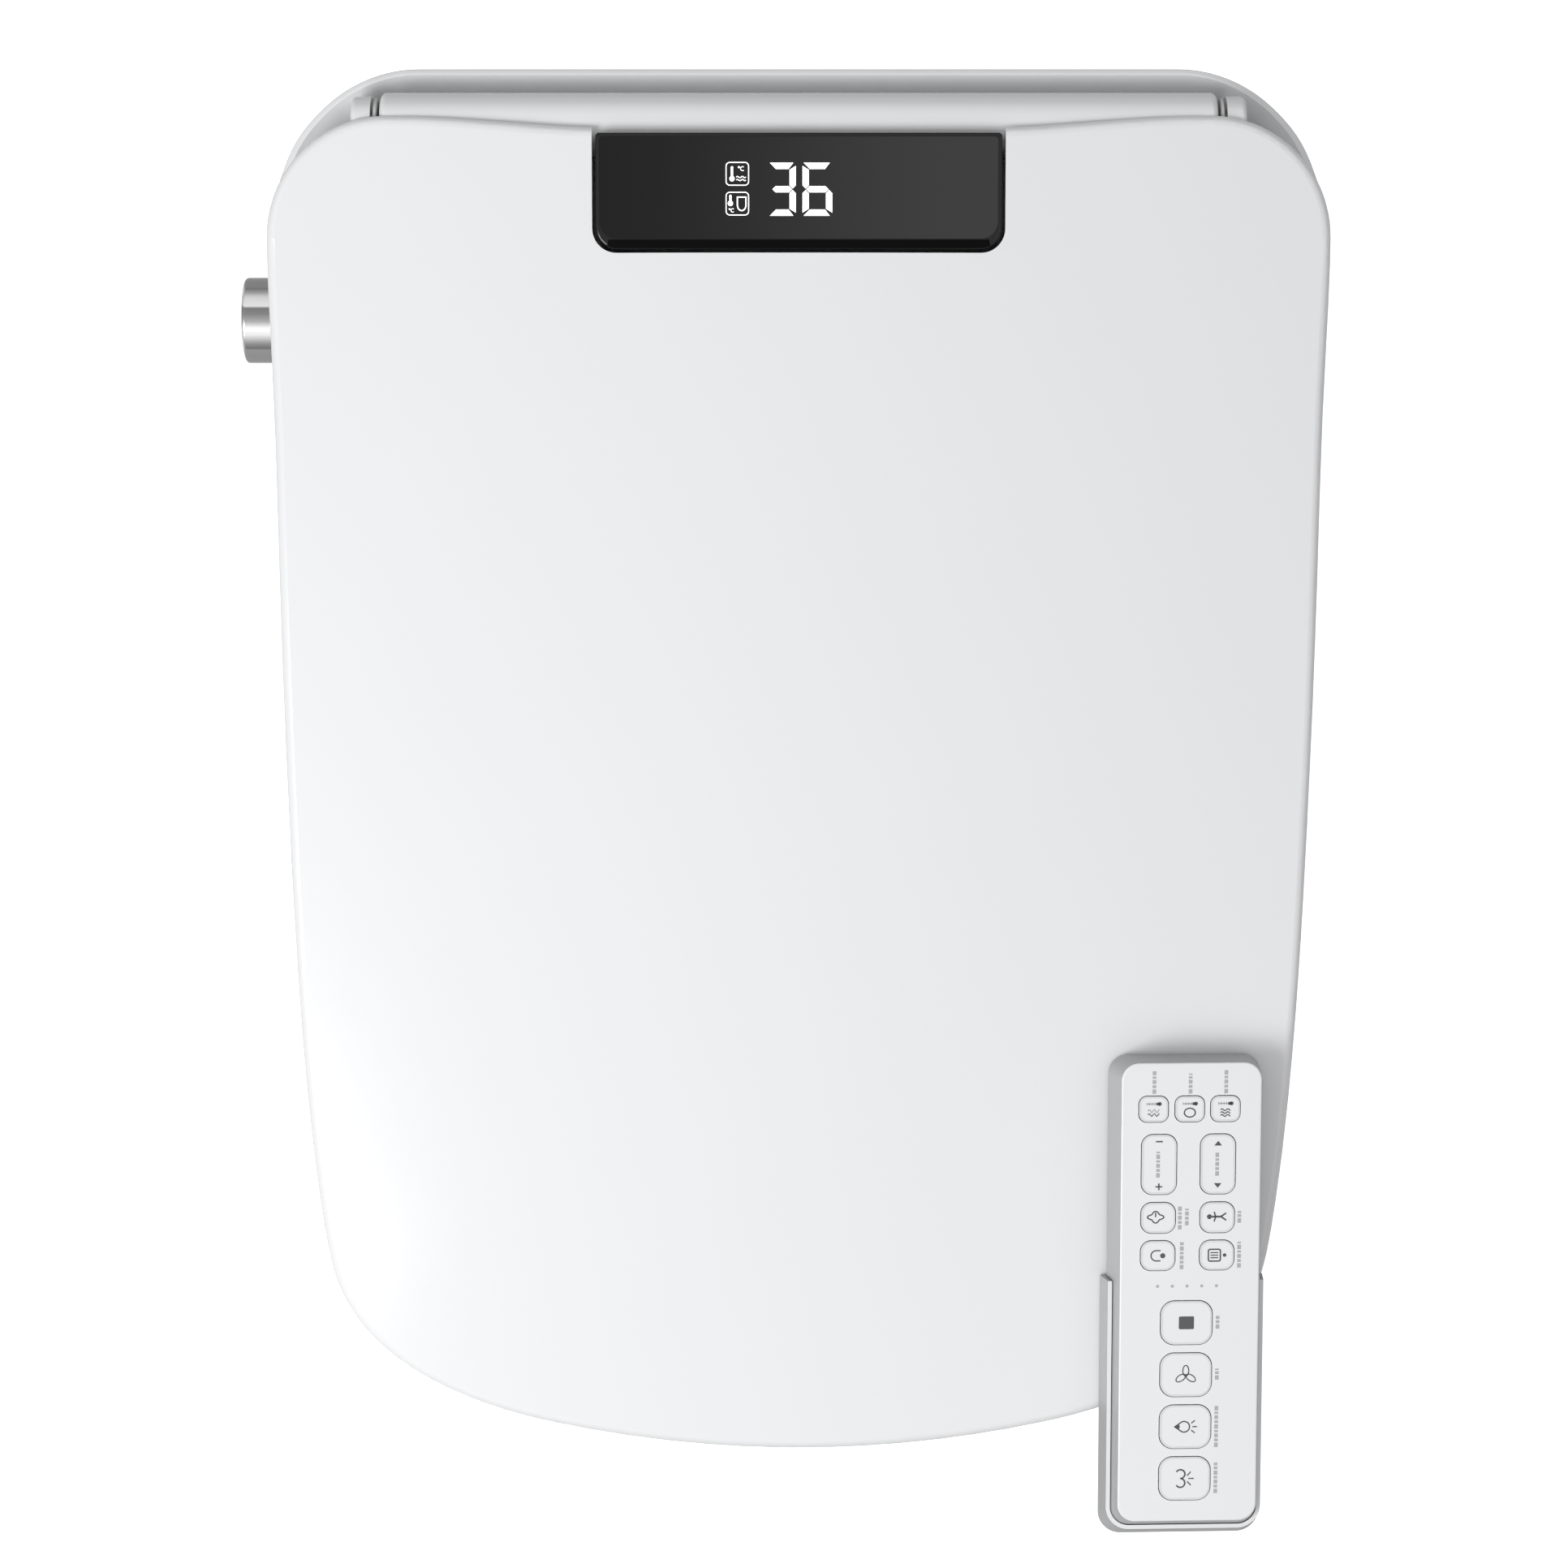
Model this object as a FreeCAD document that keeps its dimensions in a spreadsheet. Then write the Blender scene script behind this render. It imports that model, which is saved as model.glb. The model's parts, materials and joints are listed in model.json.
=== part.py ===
"""Electric bidet seat: a housing with a display, a heated seat ring, a lid, a side knob and a handset.

Millimetres.  +X is the user's right as seen from above with the hinge at the top, +Y is towards the tank,
+Z is up.  The origin is midway between the two fixing bolts, on the plane of the bowl's rim.
"""

import FreeCAD, Part
import math
import os

import Sketcher

Vector = FreeCAD.Vector
doc = FreeCAD.newDocument("BidetSeat")

# ---------------------------------------------------------------- driving dimensions
DIMENSIONS = [
    # plan shape shared by the lid, the seat and the housing
    ("rear_y", 71.2, "rear wall of the housing"),
    ("half_width", 200.0, "half of the lid's widest width"),
    ("lid_rear_y", 50.4, "rear edge of the lid beside its corners"),
    ("lid_rear_dip", 5.0, "how far that edge curves forward at the middle"),
    ("lid_corner_x", 155.0, "centre of the lid's rear corners"),
    ("lid_corner", 45.0, "radius of the lid's rear corners"),
    ("front_radius", 457.4, "radius of the front arc, centred on the origin"),
    ("front_join_x", 102.0, "where a front corner meets the front arc"),
    ("case_corner_x", 56.0, "half-axis across of the housing's rear corners"),
    ("case_corner_y", 63.2, "half-axis along of the housing's rear corners"),
    ("case_front_y", -80.0, "front wall of the housing"),
    # housing heights
    ("foot_z", 3.0, "underside of the housing"),
    ("seam_z", 25.0, "parting plane of the housing's two shells"),
    ("deck_z", 84.0, "top of the housing under the lid"),
    ("deck_front_y", -45.0, "front face of the housing's upper part"),
    ("rim_z", 93.0, "top of the rim round the housing's rear"),
    ("rim_width", 2.5, "width of that rim"),
    ("rim_round", 1.6, "round of the rim's outer edge"),
    ("dish_inset", 10.0, "how far in from the outline the slope inside the rim ends"),
    ("dish_z", 85.0, "height at which that slope ends"),
    ("case_wall", 2.5, "wall of the housing's shells"),
    # lid
    ("lid_front_z", 57.12, "top of the lid at its front tip"),
    ("lid_slope", 0.119, "rise of the lid's top per millimetre towards the rear"),
    ("lid_crown", 6.0, "how much lower the lid is at its sides than along its middle"),
    ("lid_wall", 2.6, "wall of the lid"),
    ("lid_round", 3.6, "round of the lid's top edge"),
    ("skirt_front_z", 43.6, "lower edge of the lid's skirt at the front tip"),
    ("skirt_slope", 0.055, "rise of that edge per millimetre over the seat"),
    ("skirt_knee_y", -82.0, "where that edge starts to climb over the housing"),
    ("skirt_rear_z", 86.0, "lower edge of the skirt at the rear corners"),
    ("skirt_gap", 1.5, "gap between the skirt and the housing's ledge"),
    # lid hinge
    ("hinge_y", 48.8, "lid hinge axis"),
    ("hinge_z", 99.0, "lid hinge axis"),
    ("barrel_r", 12.0, "radius of the lid's hinge barrel"),
    ("barrel_half", 157.2, "half length of the barrel"),
    ("cheek_x", 160.6, "inner face of the housing's hinge cheeks"),
    ("cheek_w", 7.4, "width of each cheek"),
    ("cheek_r", 10.6, "radius of each cheek's top"),
    ("rod_r", 4.0, "radius of the lid's hinge rod and of the seat's pins"),
    ("running", 0.05, "radial clearance of a shaft that turns or slides in its bore"),
    # seat ring
    ("seat_inset", 1.0, "how far the seat sits inside the lid's outline"),
    ("seat_base_z", 8.0, "underside of the seat ring"),
    ("seat_seam_z", 17.0, "parting plane of the seat's two shells"),
    ("seat_front_z", 41.6, "top of the seat ring at its front"),
    ("seat_slope", 0.055, "rise of the seat's top towards the rear"),
    ("seat_wall", 3.0, "wall of the seat's shells"),
    ("seat_rear_y", -85.0, "rear edge of the seat ring"),
    ("hole_half", 117.0, "half width of the seat's opening"),
    ("hole_rear_y", -122.0, "rear of the seat's opening"),
    ("hole_front_y", -390.0, "front of the seat's opening"),
    ("seat_axis_y", -66.0, "seat hinge axis"),
    ("seat_axis_z", 50.0, "seat hinge axis"),
    ("hump_r", 16.0, "radius of the housing's hump round the seat's axis"),
    ("lug_x", 150.0, "middle of each seat lug"),
    ("lug_w", 24.0, "width of each seat lug"),
    ("lug_r", 9.0, "radius of each seat lug"),
    # display
    ("display_half", 75.9, "half width of the display's bezel"),
    ("display_rear_y", 43.1, "rear edge of the display"),
    ("display_front_y", 0.3, "front edge of the display"),
    ("display_gap", 1.3, "gap between the display and the lid"),
    ("display_corner", 8.0, "radius of the display's front corners"),
    ("display_border", 1.5, "width of the bezel at its sides"),
    ("display_band", 3.7, "width of the bezel's front band"),
    # knob
    ("knob_y", -18.4, "knob axis"),
    ("knob_z", 45.0, "knob axis"),
    ("knob_r", 16.6, "radius of the knob"),
    ("knob_end_x", -215.6, "outer face of the knob"),
    ("knob_travel", 1.5, "how far the knob can be pushed"),
    # wands
    ("wand_pitch", 20.0, "distance between the two wands"),
    ("wand_r", 6.2, "radius of a wand"),
    ("wand_length", 108.0, "length of a wand"),
    ("wand_tilt", 20.0, "degrees that the wands point down"),
    ("wand_tip_y", -76.0, "tip of a retracted wand"),
    ("wand_tip_z", 15.0, "tip of a retracted wand"),
    ("pinion_r", 8.0, "radius of a wand's drive roller"),
    # bracket
    ("bolt_pitch", 155.0, "distance between the fixing bolts"),
    ("slot_length", 28.0, "end-to-end length of a bolt slot"),
    ("slot_r", 4.5, "half width of a bolt slot"),
    ("bracket_half", 99.0, "half length of the bracket"),
    ("bracket_depth", 50.0, "bracket size along Y"),
    ("bracket_thick", 4.0, "bracket thickness"),
    ("rail_x", 36.0, "middle of each of the bracket's rails"),
    # handset
    ("set_x", 148.5, "middle of the handset"),
    ("set_y", -391.8, "middle of the handset"),
    ("set_w", 53.7, "width of the handset"),
    ("set_l", 179.0, "length of the handset"),
    ("set_flare_left", 3.0, "how much wider the handset's back is at its left"),
    ("set_flare_right", 1.8, "how much wider it is at its right"),
    ("set_flare_low", 7.5, "how much longer it is at its lower end"),
    ("set_low_z", 1.8, "back of the handset above the lid"),
    ("set_seam_z", 9.0, "parting plane of the handset"),
    ("set_face_z", 18.5, "front face of the handset above the lid"),
    ("set_corner", 7.0, "corner radius of the handset"),
    ("holder_wall", 1.6, "wall of the handset's holder"),
    ("key_gap", 0.35, "gap round each key"),
    ("key_proud", 0.3, "how far a key stands proud"),
]

sheet = doc.addObject("Spreadsheet::Sheet", "Dims")
for row, (alias, value, note) in enumerate(DIMENSIONS, start=1):
    sheet.set(f"A{row}", str(value))
    sheet.setAlias(f"A{row}", alias)
    sheet.set(f"B{row}", note)
doc.recompute()


def size(alias):
    """The value of one driving dimension."""
    return float(sheet.get(alias))


# ---------------------------------------------------------------- helpers: parametric primitives
parts = {}


def bind(obj, **expressions):
    """Binds properties of an object to spreadsheet expressions; Placement.Base is given as at=(x, y, z)."""
    place = expressions.pop("at", None)
    for name, expression in expressions.items():
        obj.setExpression(name, str(expression))
    if place:
        for axis, expression in zip("xyz", place):
            obj.setExpression(f"Placement.Base.{axis}", str(expression))
    return obj


def box(name, length, width, height, at):
    made = doc.addObject("Part::Box", name)
    return bind(made, Length=length, Width=width, Height=height, at=at)


TURNS = {
    "+Z": FreeCAD.Rotation(),
    "-Z": FreeCAD.Rotation(Vector(1, 0, 0), 180),
    "+X": FreeCAD.Rotation(Vector(0, 1, 0), 90),
    "-X": FreeCAD.Rotation(Vector(0, 1, 0), -90),
    "+Y": FreeCAD.Rotation(Vector(1, 0, 0), -90),
    "-Y": FreeCAD.Rotation(Vector(1, 0, 0), 90),
}


def rod(name, radius, length, at, along="+Z"):
    made = doc.addObject("Part::Cylinder", name)
    made.Placement.Rotation = TURNS[along]
    return bind(made, Radius=radius, Height=length, at=at)


def cut(name, base, tool):
    made = doc.addObject("Part::Cut", name)
    made.Base = base
    made.Tool = tool
    return made


def fuse(name, *shapes):
    made = doc.addObject("Part::MultiFuse", name)
    made.Shapes = list(shapes)
    return made


def round_edges(name, base, radius, chosen):
    """A Part::Fillet on the edges for which chosen(edge) is true."""
    doc.recompute()
    made = doc.addObject("Part::Fillet", name)
    made.Base = base
    made.Edges = [(i, radius, radius) for i, e in enumerate(base.Shape.Edges, start=1) if chosen(e)]
    return made


def keep(label, obj):
    """Names an object as one of the pieces that is written out."""
    obj.Label = label
    parts[label] = obj
    return obj


def feature(label, shape, placement=None):
    """A piece whose shape is made with Part's own functions."""
    made = doc.addObject("Part::Feature", label)
    made.Shape = shape
    if placement:
        made.Placement = placement
    return keep(label, made)


# ---------------------------------------------------------------- helpers: sketched bodies
def sketch(body, name, role="XY_Plane", lift="0"):
    made = body.newObject("Sketcher::SketchObject", name)
    plane = next(f for f in body.Origin.OriginFeatures if f.Role == role)
    made.AttachmentSupport = [(plane, "")]
    made.MapMode = "FlatFace"
    made.setExpression("AttachmentOffset.Base.z", str(lift))
    return made


def draw_rectangle(made, width, depth, x="0", y="0"):
    """A rectangle of these expressions, centred on (x, y)."""
    doc.recompute()
    first = made.GeometryCount
    corners = [Vector(-1, -1, 0), Vector(1, -1, 0), Vector(1, 1, 0), Vector(-1, 1, 0)]
    made.addGeometry([Part.LineSegment(corners[i], corners[(i + 1) % 4]) for i in range(4)], False)
    centre = made.addGeometry(Part.Point(Vector(0, 0, 0)), True)
    for i in range(4):
        made.addConstraint(Sketcher.Constraint("Coincident", first + i, 2, first + (i + 1) % 4, 1))
        made.addConstraint(Sketcher.Constraint("Vertical" if i % 2 else "Horizontal", first + i))
    made.addConstraint(Sketcher.Constraint("Symmetric", first, 1, first + 1, 2, centre, 1))
    datum(made, Sketcher.Constraint("DistanceX", first, 1, first, 2, 2.0), f"wide{first}", width)
    datum(made, Sketcher.Constraint("DistanceY", first + 1, 1, first + 1, 2, 2.0), f"deep{first}", depth)
    place_point(made, centre, 1, x, y, first)


def draw_circle(made, radius, x="0", y="0"):
    first = made.addGeometry(Part.Circle(Vector(0, 0, 0), Vector(0, 0, 1), 1.0), False)
    datum(made, Sketcher.Constraint("Radius", first, 1.0), f"radius{first}", radius)
    place_point(made, first, 3, x, y, first)


def place_point(made, geometry, vertex, x, y, number):
    """Holds a point of a sketch at (x, y)."""
    if x == "0" and y == "0":
        made.addConstraint(Sketcher.Constraint("Coincident", geometry, vertex, -1, 1))
        return
    datum(made, Sketcher.Constraint("DistanceX", -1, 1, geometry, vertex, 1.0), f"atx{number}", x)
    datum(made, Sketcher.Constraint("DistanceY", -1, 1, geometry, vertex, 1.0), f"aty{number}", y)


def datum(made, constraint, name, expression):
    index = made.addConstraint(constraint)
    made.renameConstraint(index, name)
    made.setExpression(f"Constraints.{name}", str(expression))


def pad(body, profile, length, name="Pad"):
    made = body.newObject("PartDesign::Pad", name)
    made.Profile = profile
    made.setExpression("Length", str(length))
    doc.recompute()
    return made


def pocket(body, profile, length, name="Pocket", reverse=True):
    """Cuts a profile away; a pocket that points away from the solid cuts nothing, so the volume is compared."""
    before = body.Shape.Volume
    made = body.newObject("PartDesign::Pocket", name)
    made.Profile = profile
    made.setExpression("Length", str(length))
    made.Reversed = reverse
    doc.recompute()
    if body.Shape.Volume >= before - 1e-6:
        raise RuntimeError(f"{body.Label}: {name} cut nothing")
    return made


def new_body(label, at=None, turn=None):
    made = doc.addObject("PartDesign::Body", label)
    if turn:
        made.Placement.Rotation = turn
    if at:
        bind(made, at=at)
    return keep(label, made)


def upright(edge):
    """True for a straight edge along the body's own Z."""
    ends = edge.Vertexes
    if len(ends) != 2 or edge.Curve.TypeId != "Part::GeomLine":
        return False
    run = ends[1].Point - ends[0].Point
    return abs(run.z) > 1e-6 and math.hypot(run.x, run.y) < 1e-6


def soften(body, solid, radius, chosen, name="Round"):
    """A PartDesign fillet on the edges for which chosen(edge) is true."""
    shape = solid.Shape.copy()
    shape.Placement = FreeCAD.Placement()
    names = [f"Edge{i}" for i, e in enumerate(solid.Shape.Edges, start=1) if chosen(e)]
    made = body.newObject("PartDesign::Fillet", name)
    made.Base = (solid, names)
    made.setExpression("Radius", str(radius))
    doc.recompute()
    return made


# ---------------------------------------------------------------- helpers: outlines and planes
def prism(points, half_length=230.0, middle=0.0):
    """A solid whose section in the YZ plane is the polygon of these points, from side to side along X."""
    corners = [Vector(middle - half_length, y, z) for y, z in points]
    face = Part.Face(Part.makePolygon(corners + corners[:1]))
    return face.extrude(Vector(2 * half_length, 0, 0))


def block(x0, x1, y0, y1, z0, z1):
    return Part.makeBox(x1 - x0, y1 - y0, z1 - z0, Vector(x0, y0, z0))


def bar_x(radius, x0, x1, y, z):
    """A round bar along X."""
    return Part.makeCylinder(radius, x1 - x0, Vector(x0, y, z), Vector(1, 0, 0))


def rounded_plate(width, depth, height, radius, at=Vector()):
    """A plate with rounded upright edges, centred on at, standing on at.z."""
    solid = block(-width / 2, width / 2, -depth / 2, depth / 2, 0, height)
    solid = solid.makeFillet(radius, [e for e in solid.Edges if upright(e)])
    solid.translate(at)
    return solid


def mirrored(wire_edges):
    """The edges of the right half followed by those of the left half, as one closed wire."""
    left = [e.mirror(Vector(0, 0, 0), Vector(1, 0, 0)) for e in wire_edges]
    return Part.Wire(Part.__sortEdges__(wire_edges + left))


def spline(points, start, end):
    """A smooth curve through the points with these end tangents."""
    curve = Part.BSplineCurve()
    curve.interpolate(Points=points, InitialTangent=start, FinalTangent=end)
    return curve.toShape()


# The side and the front corner of the lid, from its rear corner: X, Y and the degrees that the side leans in.
SIDE = [
    (200.0, 5.4, 0.0),
    (198.4, -50.0, 0.9),
    (197.0, -125.0, 1.2),
    (194.7, -215.0, 2.2),
    (191.6, -285.0, 3.8),
    (187.0, -342.0, 5.8),
    (183.3, -371.0, 9.5),
    (177.1, -396.0, 24.0),
    (158.7, -419.9, 47.5),
    (139.9, -432.2, 62.0),
    (121.0, -440.3, 69.5),
]


def side_edges(inset):
    """The side, the front corner and the front arc of the lid's right half, moved inwards by inset."""
    front_r = size("front_radius")
    points = []
    for x, y, degrees in SIDE:
        lean = math.radians(degrees)
        points.append(Vector(x - inset * math.cos(lean), y + inset * math.sin(lean), 0))
    sweep = math.asin(size("front_join_x") / front_r)
    reach = front_r - inset
    join = Vector(math.sin(sweep), -math.cos(sweep), 0) * reach
    side = spline(points + [join], Vector(0, -1, 0), Vector(join.y, -join.x, 0).normalize())
    arc_mid = Vector(math.sin(sweep / 2), -math.cos(sweep / 2), 0) * reach
    return [side, Part.Arc(join, arc_mid, Vector(0, -reach, 0)).toShape()]


def lid_outline(inset=0.0):
    """The lid's plan outline, moved inwards by inset."""
    corner_x = size("lid_corner_x")
    rear = size("lid_rear_y") - inset
    radius = size("lid_corner") - inset
    dip = size("lid_rear_dip")
    flat = size("display_half") - 12
    middle = Part.LineSegment(Vector(0, rear - dip, 0), Vector(flat, rear - dip, 0)).toShape()
    run = Vector(60, 0, 0)
    ease = spline([Vector(flat, rear - dip, 0), Vector(corner_x, rear, 0)], run, run)
    low = math.radians(45)
    centre = Vector(corner_x, size("lid_rear_y") - size("lid_corner"), 0)
    turn = centre + Vector(math.cos(low), math.sin(low), 0) * radius
    corner = Part.Arc(Vector(corner_x, rear, 0), turn, centre + Vector(radius, 0, 0)).toShape()
    return mirrored([middle, ease, corner] + side_edges(inset))


def case_outline(inset=0.0):
    """The housing's plan outline, moved inwards by inset, closed straight across at its front wall."""
    start_x = size("half_width") - size("case_corner_x")
    rear = size("rear_y") - inset
    across = size("case_corner_x") - inset
    along = size("case_corner_y") - inset
    front = size("case_front_y") + inset
    middle = Part.LineSegment(Vector(0, rear, 0), Vector(start_x, rear, 0)).toShape()
    steps = [math.radians(90 - 15 * i) for i in range(7)]
    corner_y = size("rear_y") - size("case_corner_y")
    points = [Vector(start_x + across * math.cos(a), corner_y + along * math.sin(a), 0) for a in steps]
    corner = spline(points, Vector(1, 0, 0), Vector(0, -1, 0))
    front_x = 197.7 - inset
    side = spline([points[-1], Vector(front_x, front, 0)], Vector(0, -60, 0), Vector(-2, -60, 0))
    wall = Part.LineSegment(Vector(front_x, front, 0), Vector(0, front, 0)).toShape()
    return mirrored([middle, corner, side, wall])


def oval_outline(inset=0.0):
    """The outline of the seat's opening, made larger by inset."""
    half = size("hole_half") + inset
    rear = size("hole_rear_y") + inset
    front = size("hole_front_y") - inset
    broad = (rear + front) / 2 + 14
    points = []
    for step in range(0, 360, 15):
        angle = math.radians(step)
        reach = rear - broad if step < 180 else broad - front
        points.append(Vector(half * math.cos(angle), broad + reach * math.sin(angle), 0))
    curve = Part.BSplineCurve()
    curve.interpolate(Points=points, PeriodicFlag=True)
    return Part.Wire([curve.toShape()])


def raised(wire, low, high):
    """The solid above a plan outline from low to high."""
    face = Part.Face(wire)
    face.translate(Vector(0, 0, low))
    return face.extrude(Vector(0, 0, high - low))


def between(low, high):
    """A side-to-side solid between two sloping planes, each given as (z at Y = 0, rise per millimetre)."""
    rear, front = 120.0, -500.0
    return prism([(front, low[0] + low[1] * front), (rear, low[0] + low[1] * rear),
                  (rear, high[0] + high[1] * rear), (front, high[0] + high[1] * front)])


def lid_top(x, y):
    """Height of the lid's crowned top."""
    front = -size("front_radius")
    crown = size("lid_crown") * (x / size("half_width")) ** 2
    return size("lid_front_z") + size("lid_slope") * (y - front) - crown


def under_crown(drop, floor=-60.0):
    """Everything below the lid's top surface lowered by drop."""
    front, rear = -480.0, 110.0
    half, edge = 230.0, size("half_width")
    edge_drop = size("lid_crown") * (half / edge) ** 2
    crown = size("lid_front_z") + size("lid_slope") * (front + size("front_radius")) - drop
    left = Vector(-half, front, crown - edge_drop)
    right = Vector(half, front, crown - edge_drop)
    arc = Part.Arc(left, Vector(0, front, crown), right).toShape()
    low = [Vector(half, front, floor), Vector(-half, front, floor)]
    sides = Part.makePolygon([right] + low + [left])
    face = Part.Face(Part.Wire([arc] + sides.Edges))
    return face.extrude(Vector(0, rear - front, (rear - front) * size("lid_slope")))


def above_skirt(drop=0.0):
    """Everything above the line of the skirt's lower edge lowered by drop, from the side."""
    knee_y = size("skirt_knee_y")
    knee_z = size("skirt_front_z") + size("skirt_slope") * (knee_y + size("front_radius"))
    front_z = size("skirt_front_z") - size("skirt_slope") * 30
    rear_z = size("skirt_rear_z")
    line = [(-480, front_z), (knee_y, knee_z), (8, rear_z), (120, rear_z + 11)]
    return prism([(y, z - drop) for y, z in line] + [(120, 300), (-480, 300)])


def sum_of(first, *others):
    return first.multiFuse(list(others)).removeSplitter()


def smoothed(shape, radius, chosen):
    """The shape with the chosen edges rounded."""
    return shape.makeFillet(radius, [e for e in shape.Edges if chosen(e)])


# ---------------------------------------------------------------- housing: two moulded shells
HY, HZ = size("hinge_y"), size("hinge_z")
SY, SZ = size("seat_axis_y"), size("seat_axis_z")
SEAM = size("seam_z")
PIN = size("rod_r")
RUN = size("running")


def rear_dish(start, drop):
    """Everything above the slope that falls inwards from the rear rim, from start in from the outline."""
    steepness = (size("rim_z") - size("dish_z")) / (size("dish_inset") - size("rim_width"))
    top = size("rim_z") - drop + steepness * (size("rim_width") - start)
    upper = case_outline(start)
    upper.translate(Vector(0, 0, top))
    lower = case_outline(size("dish_inset"))
    lower.translate(Vector(0, 0, size("dish_z") - drop))
    return sum_of(Part.makeLoft([lower, upper], True, True), raised(case_outline(start), top, 140))


def rounded_rim(floor):
    """The housing's full outline up to the rim, whose outer edge is eased in two steps."""
    ease = size("rim_round")
    rings = []
    for inset, drop in ((0, ease), (0.3 * ease, 0.3 * ease), (ease, 0)):
        ring = case_outline(inset)
        ring.translate(Vector(0, 0, size("rim_z") - drop))
        rings.append(ring)
    return sum_of(raised(case_outline(0), floor, size("rim_z") - ease), Part.makeLoft(rings, True, True))


def case_solid(inset):
    """The housing's outside as one solid, with every face moved inwards by inset."""
    front = size("case_front_y") + inset
    floor = size("foot_z") + inset
    deck = size("deck_z") - inset
    upper_front = size("deck_front_y") + inset
    rear = size("rear_y") - inset
    profile = prism([(front, floor), (front, SZ - inset), (upper_front, SZ - inset), (upper_front, deck),
                     (rear, deck), (rear, floor)])
    lower = raised(case_outline(inset), floor, 120).cut(above_skirt(size("skirt_gap") + inset))
    skirted = size("lid_wall") + 1.8 + inset
    upper = raised(lid_outline(skirted), floor, 120)
    main = sum_of(lower, upper).common(profile)
    if inset == 0:
        shoulder = rounded_rim(floor).cut(rear_dish(size("rim_width"), 0))
    else:
        shoulder = raised(case_outline(inset), floor, size("rim_z") - inset).cut(rear_dish(1.0, 1.4 * inset))
    shoulder = shoulder.common(block(-230, 230, 8 + inset, 90, 40, 130))
    under_lid = raised(lid_outline(-1.2 - inset), 40, 140).common(above_skirt(size("skirt_gap") + inset))
    shoulder = shoulder.cut(under_lid)
    trough = bar_x(size("barrel_r") + 1.2 + inset, -158.8, 158.8, HY, HZ)
    return sum_of(main, shoulder).cut(trough)


outer_case = case_solid(0)
inner_case = case_solid(size("case_wall"))
shell = outer_case.cut(inner_case)
below_seam = block(-240, 240, -120, 100, -10, SEAM)

# lower shell
chassis = shell.common(below_seam)
bay_half, bay_top, bay_front = 101.5, 14.0, -28.0
roof = 2.5
dock = block(-bay_half - roof, bay_half + roof, bay_front - roof, 68, size("foot_z"), bay_top + roof)
dock = dock.cut(block(-bay_half, -52, bay_front, 90, -1, bay_top))
dock = dock.cut(block(52, bay_half, bay_front, 90, -1, bay_top))
dock = dock.cut(block(-52, 52, bay_front, 90, -1, size("bracket_thick") + 0.4))
chassis = chassis.cut(block(-bay_half, bay_half, bay_front, 90, -1, bay_top))
for side in (-1, 1):
    rail = side * size("rail_x")
    neck = block(rail - 3.4, rail + 3.4, bay_front, 90, -1, 9)
    head = block(rail - 6.4, rail + 6.4, bay_front, 90, 7.6, 11.4)
    dock = dock.cut(neck).cut(head)
chassis = sum_of(chassis, dock.common(outer_case.fuse(block(-110, 110, -40, 67.6, 0, 30))))
for side in (-1, 1):
    rail = side * size("rail_x")
    chassis = chassis.cut(block(rail - 6.4, rail + 6.4, 60, 90, 7.6, 11.4))
    chassis = chassis.cut(block(rail - 3.4, rail + 3.4, 60, 90, 3, 9))
chassis = chassis.cut(block(-52, 52, 60, 90, -1, size("bracket_thick") + 0.4))

SCREWS = [(-186, -66), (186, -66), (-170, 40), (170, 40), (-110, 58), (110, 58)]
for x, y in SCREWS:
    post = Part.makeCylinder(4.5, SEAM - 4, Vector(x, y, 4)).common(outer_case)
    chassis = sum_of(chassis, post)
    chassis = chassis.cut(Part.makeCylinder(1.9, 40, Vector(x, y, -1)))
    chassis = chassis.cut(Part.makeCylinder(3.7, 6, Vector(x, y, -1)))

wand_dir = Vector(0, -math.cos(math.radians(size("wand_tilt"))), -math.sin(math.radians(size("wand_tilt"))))
wand_tip = Vector(0, size("wand_tip_y"), size("wand_tip_z"))
wand_x = [-size("wand_pitch") / 2, size("wand_pitch") / 2]
exit_way = Part.makeCylinder(size("wand_r") + 0.9, 60, wand_tip - wand_dir * 25, wand_dir)
for x in wand_x:
    way = exit_way.copy()
    way.translate(Vector(x, 0, 0))
    chassis = chassis.cut(way)

inlet_x, inlet_y, niche_r, niche_top = -128.0, 34.0, 18.0, 16.0
niche = Part.makeCylinder(niche_r + roof, niche_top + roof - 4, Vector(inlet_x, inlet_y, 4))
chassis = sum_of(chassis, niche).cut(Part.makeCylinder(niche_r, niche_top + 1, Vector(inlet_x, inlet_y, -1)))
chassis = chassis.cut(Part.makeCylinder(6.0, 20, Vector(inlet_x, inlet_y, 10)))
gland_x, gland_z = 124.0, 14.0
chassis = chassis.cut(Part.makeCylinder(6.5, 12, Vector(gland_x, 62, gland_z), Vector(0, 1, 0)))
button_y, button_z, button_r = 22.0, 14.0, 7.0
chassis = chassis.cut(bar_x(button_r + 0.35, 185, 210, button_y, button_z))
duct_x = 72.0
chassis = chassis.cut(block(duct_x - 15, duct_x + 15, -90, -70, 9, 21))
lamp_x = -60.0
chassis = chassis.cut(block(lamp_x - 9, lamp_x + 9, -90, -70, 10, 16))
for i in range(8):
    slot_x = 140.0 + 5 * i
    chassis = chassis.cut(block(slot_x, slot_x + 2.4, -40, 10, 0, 7))
feature("base_chassis", chassis.removeSplitter())

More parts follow.
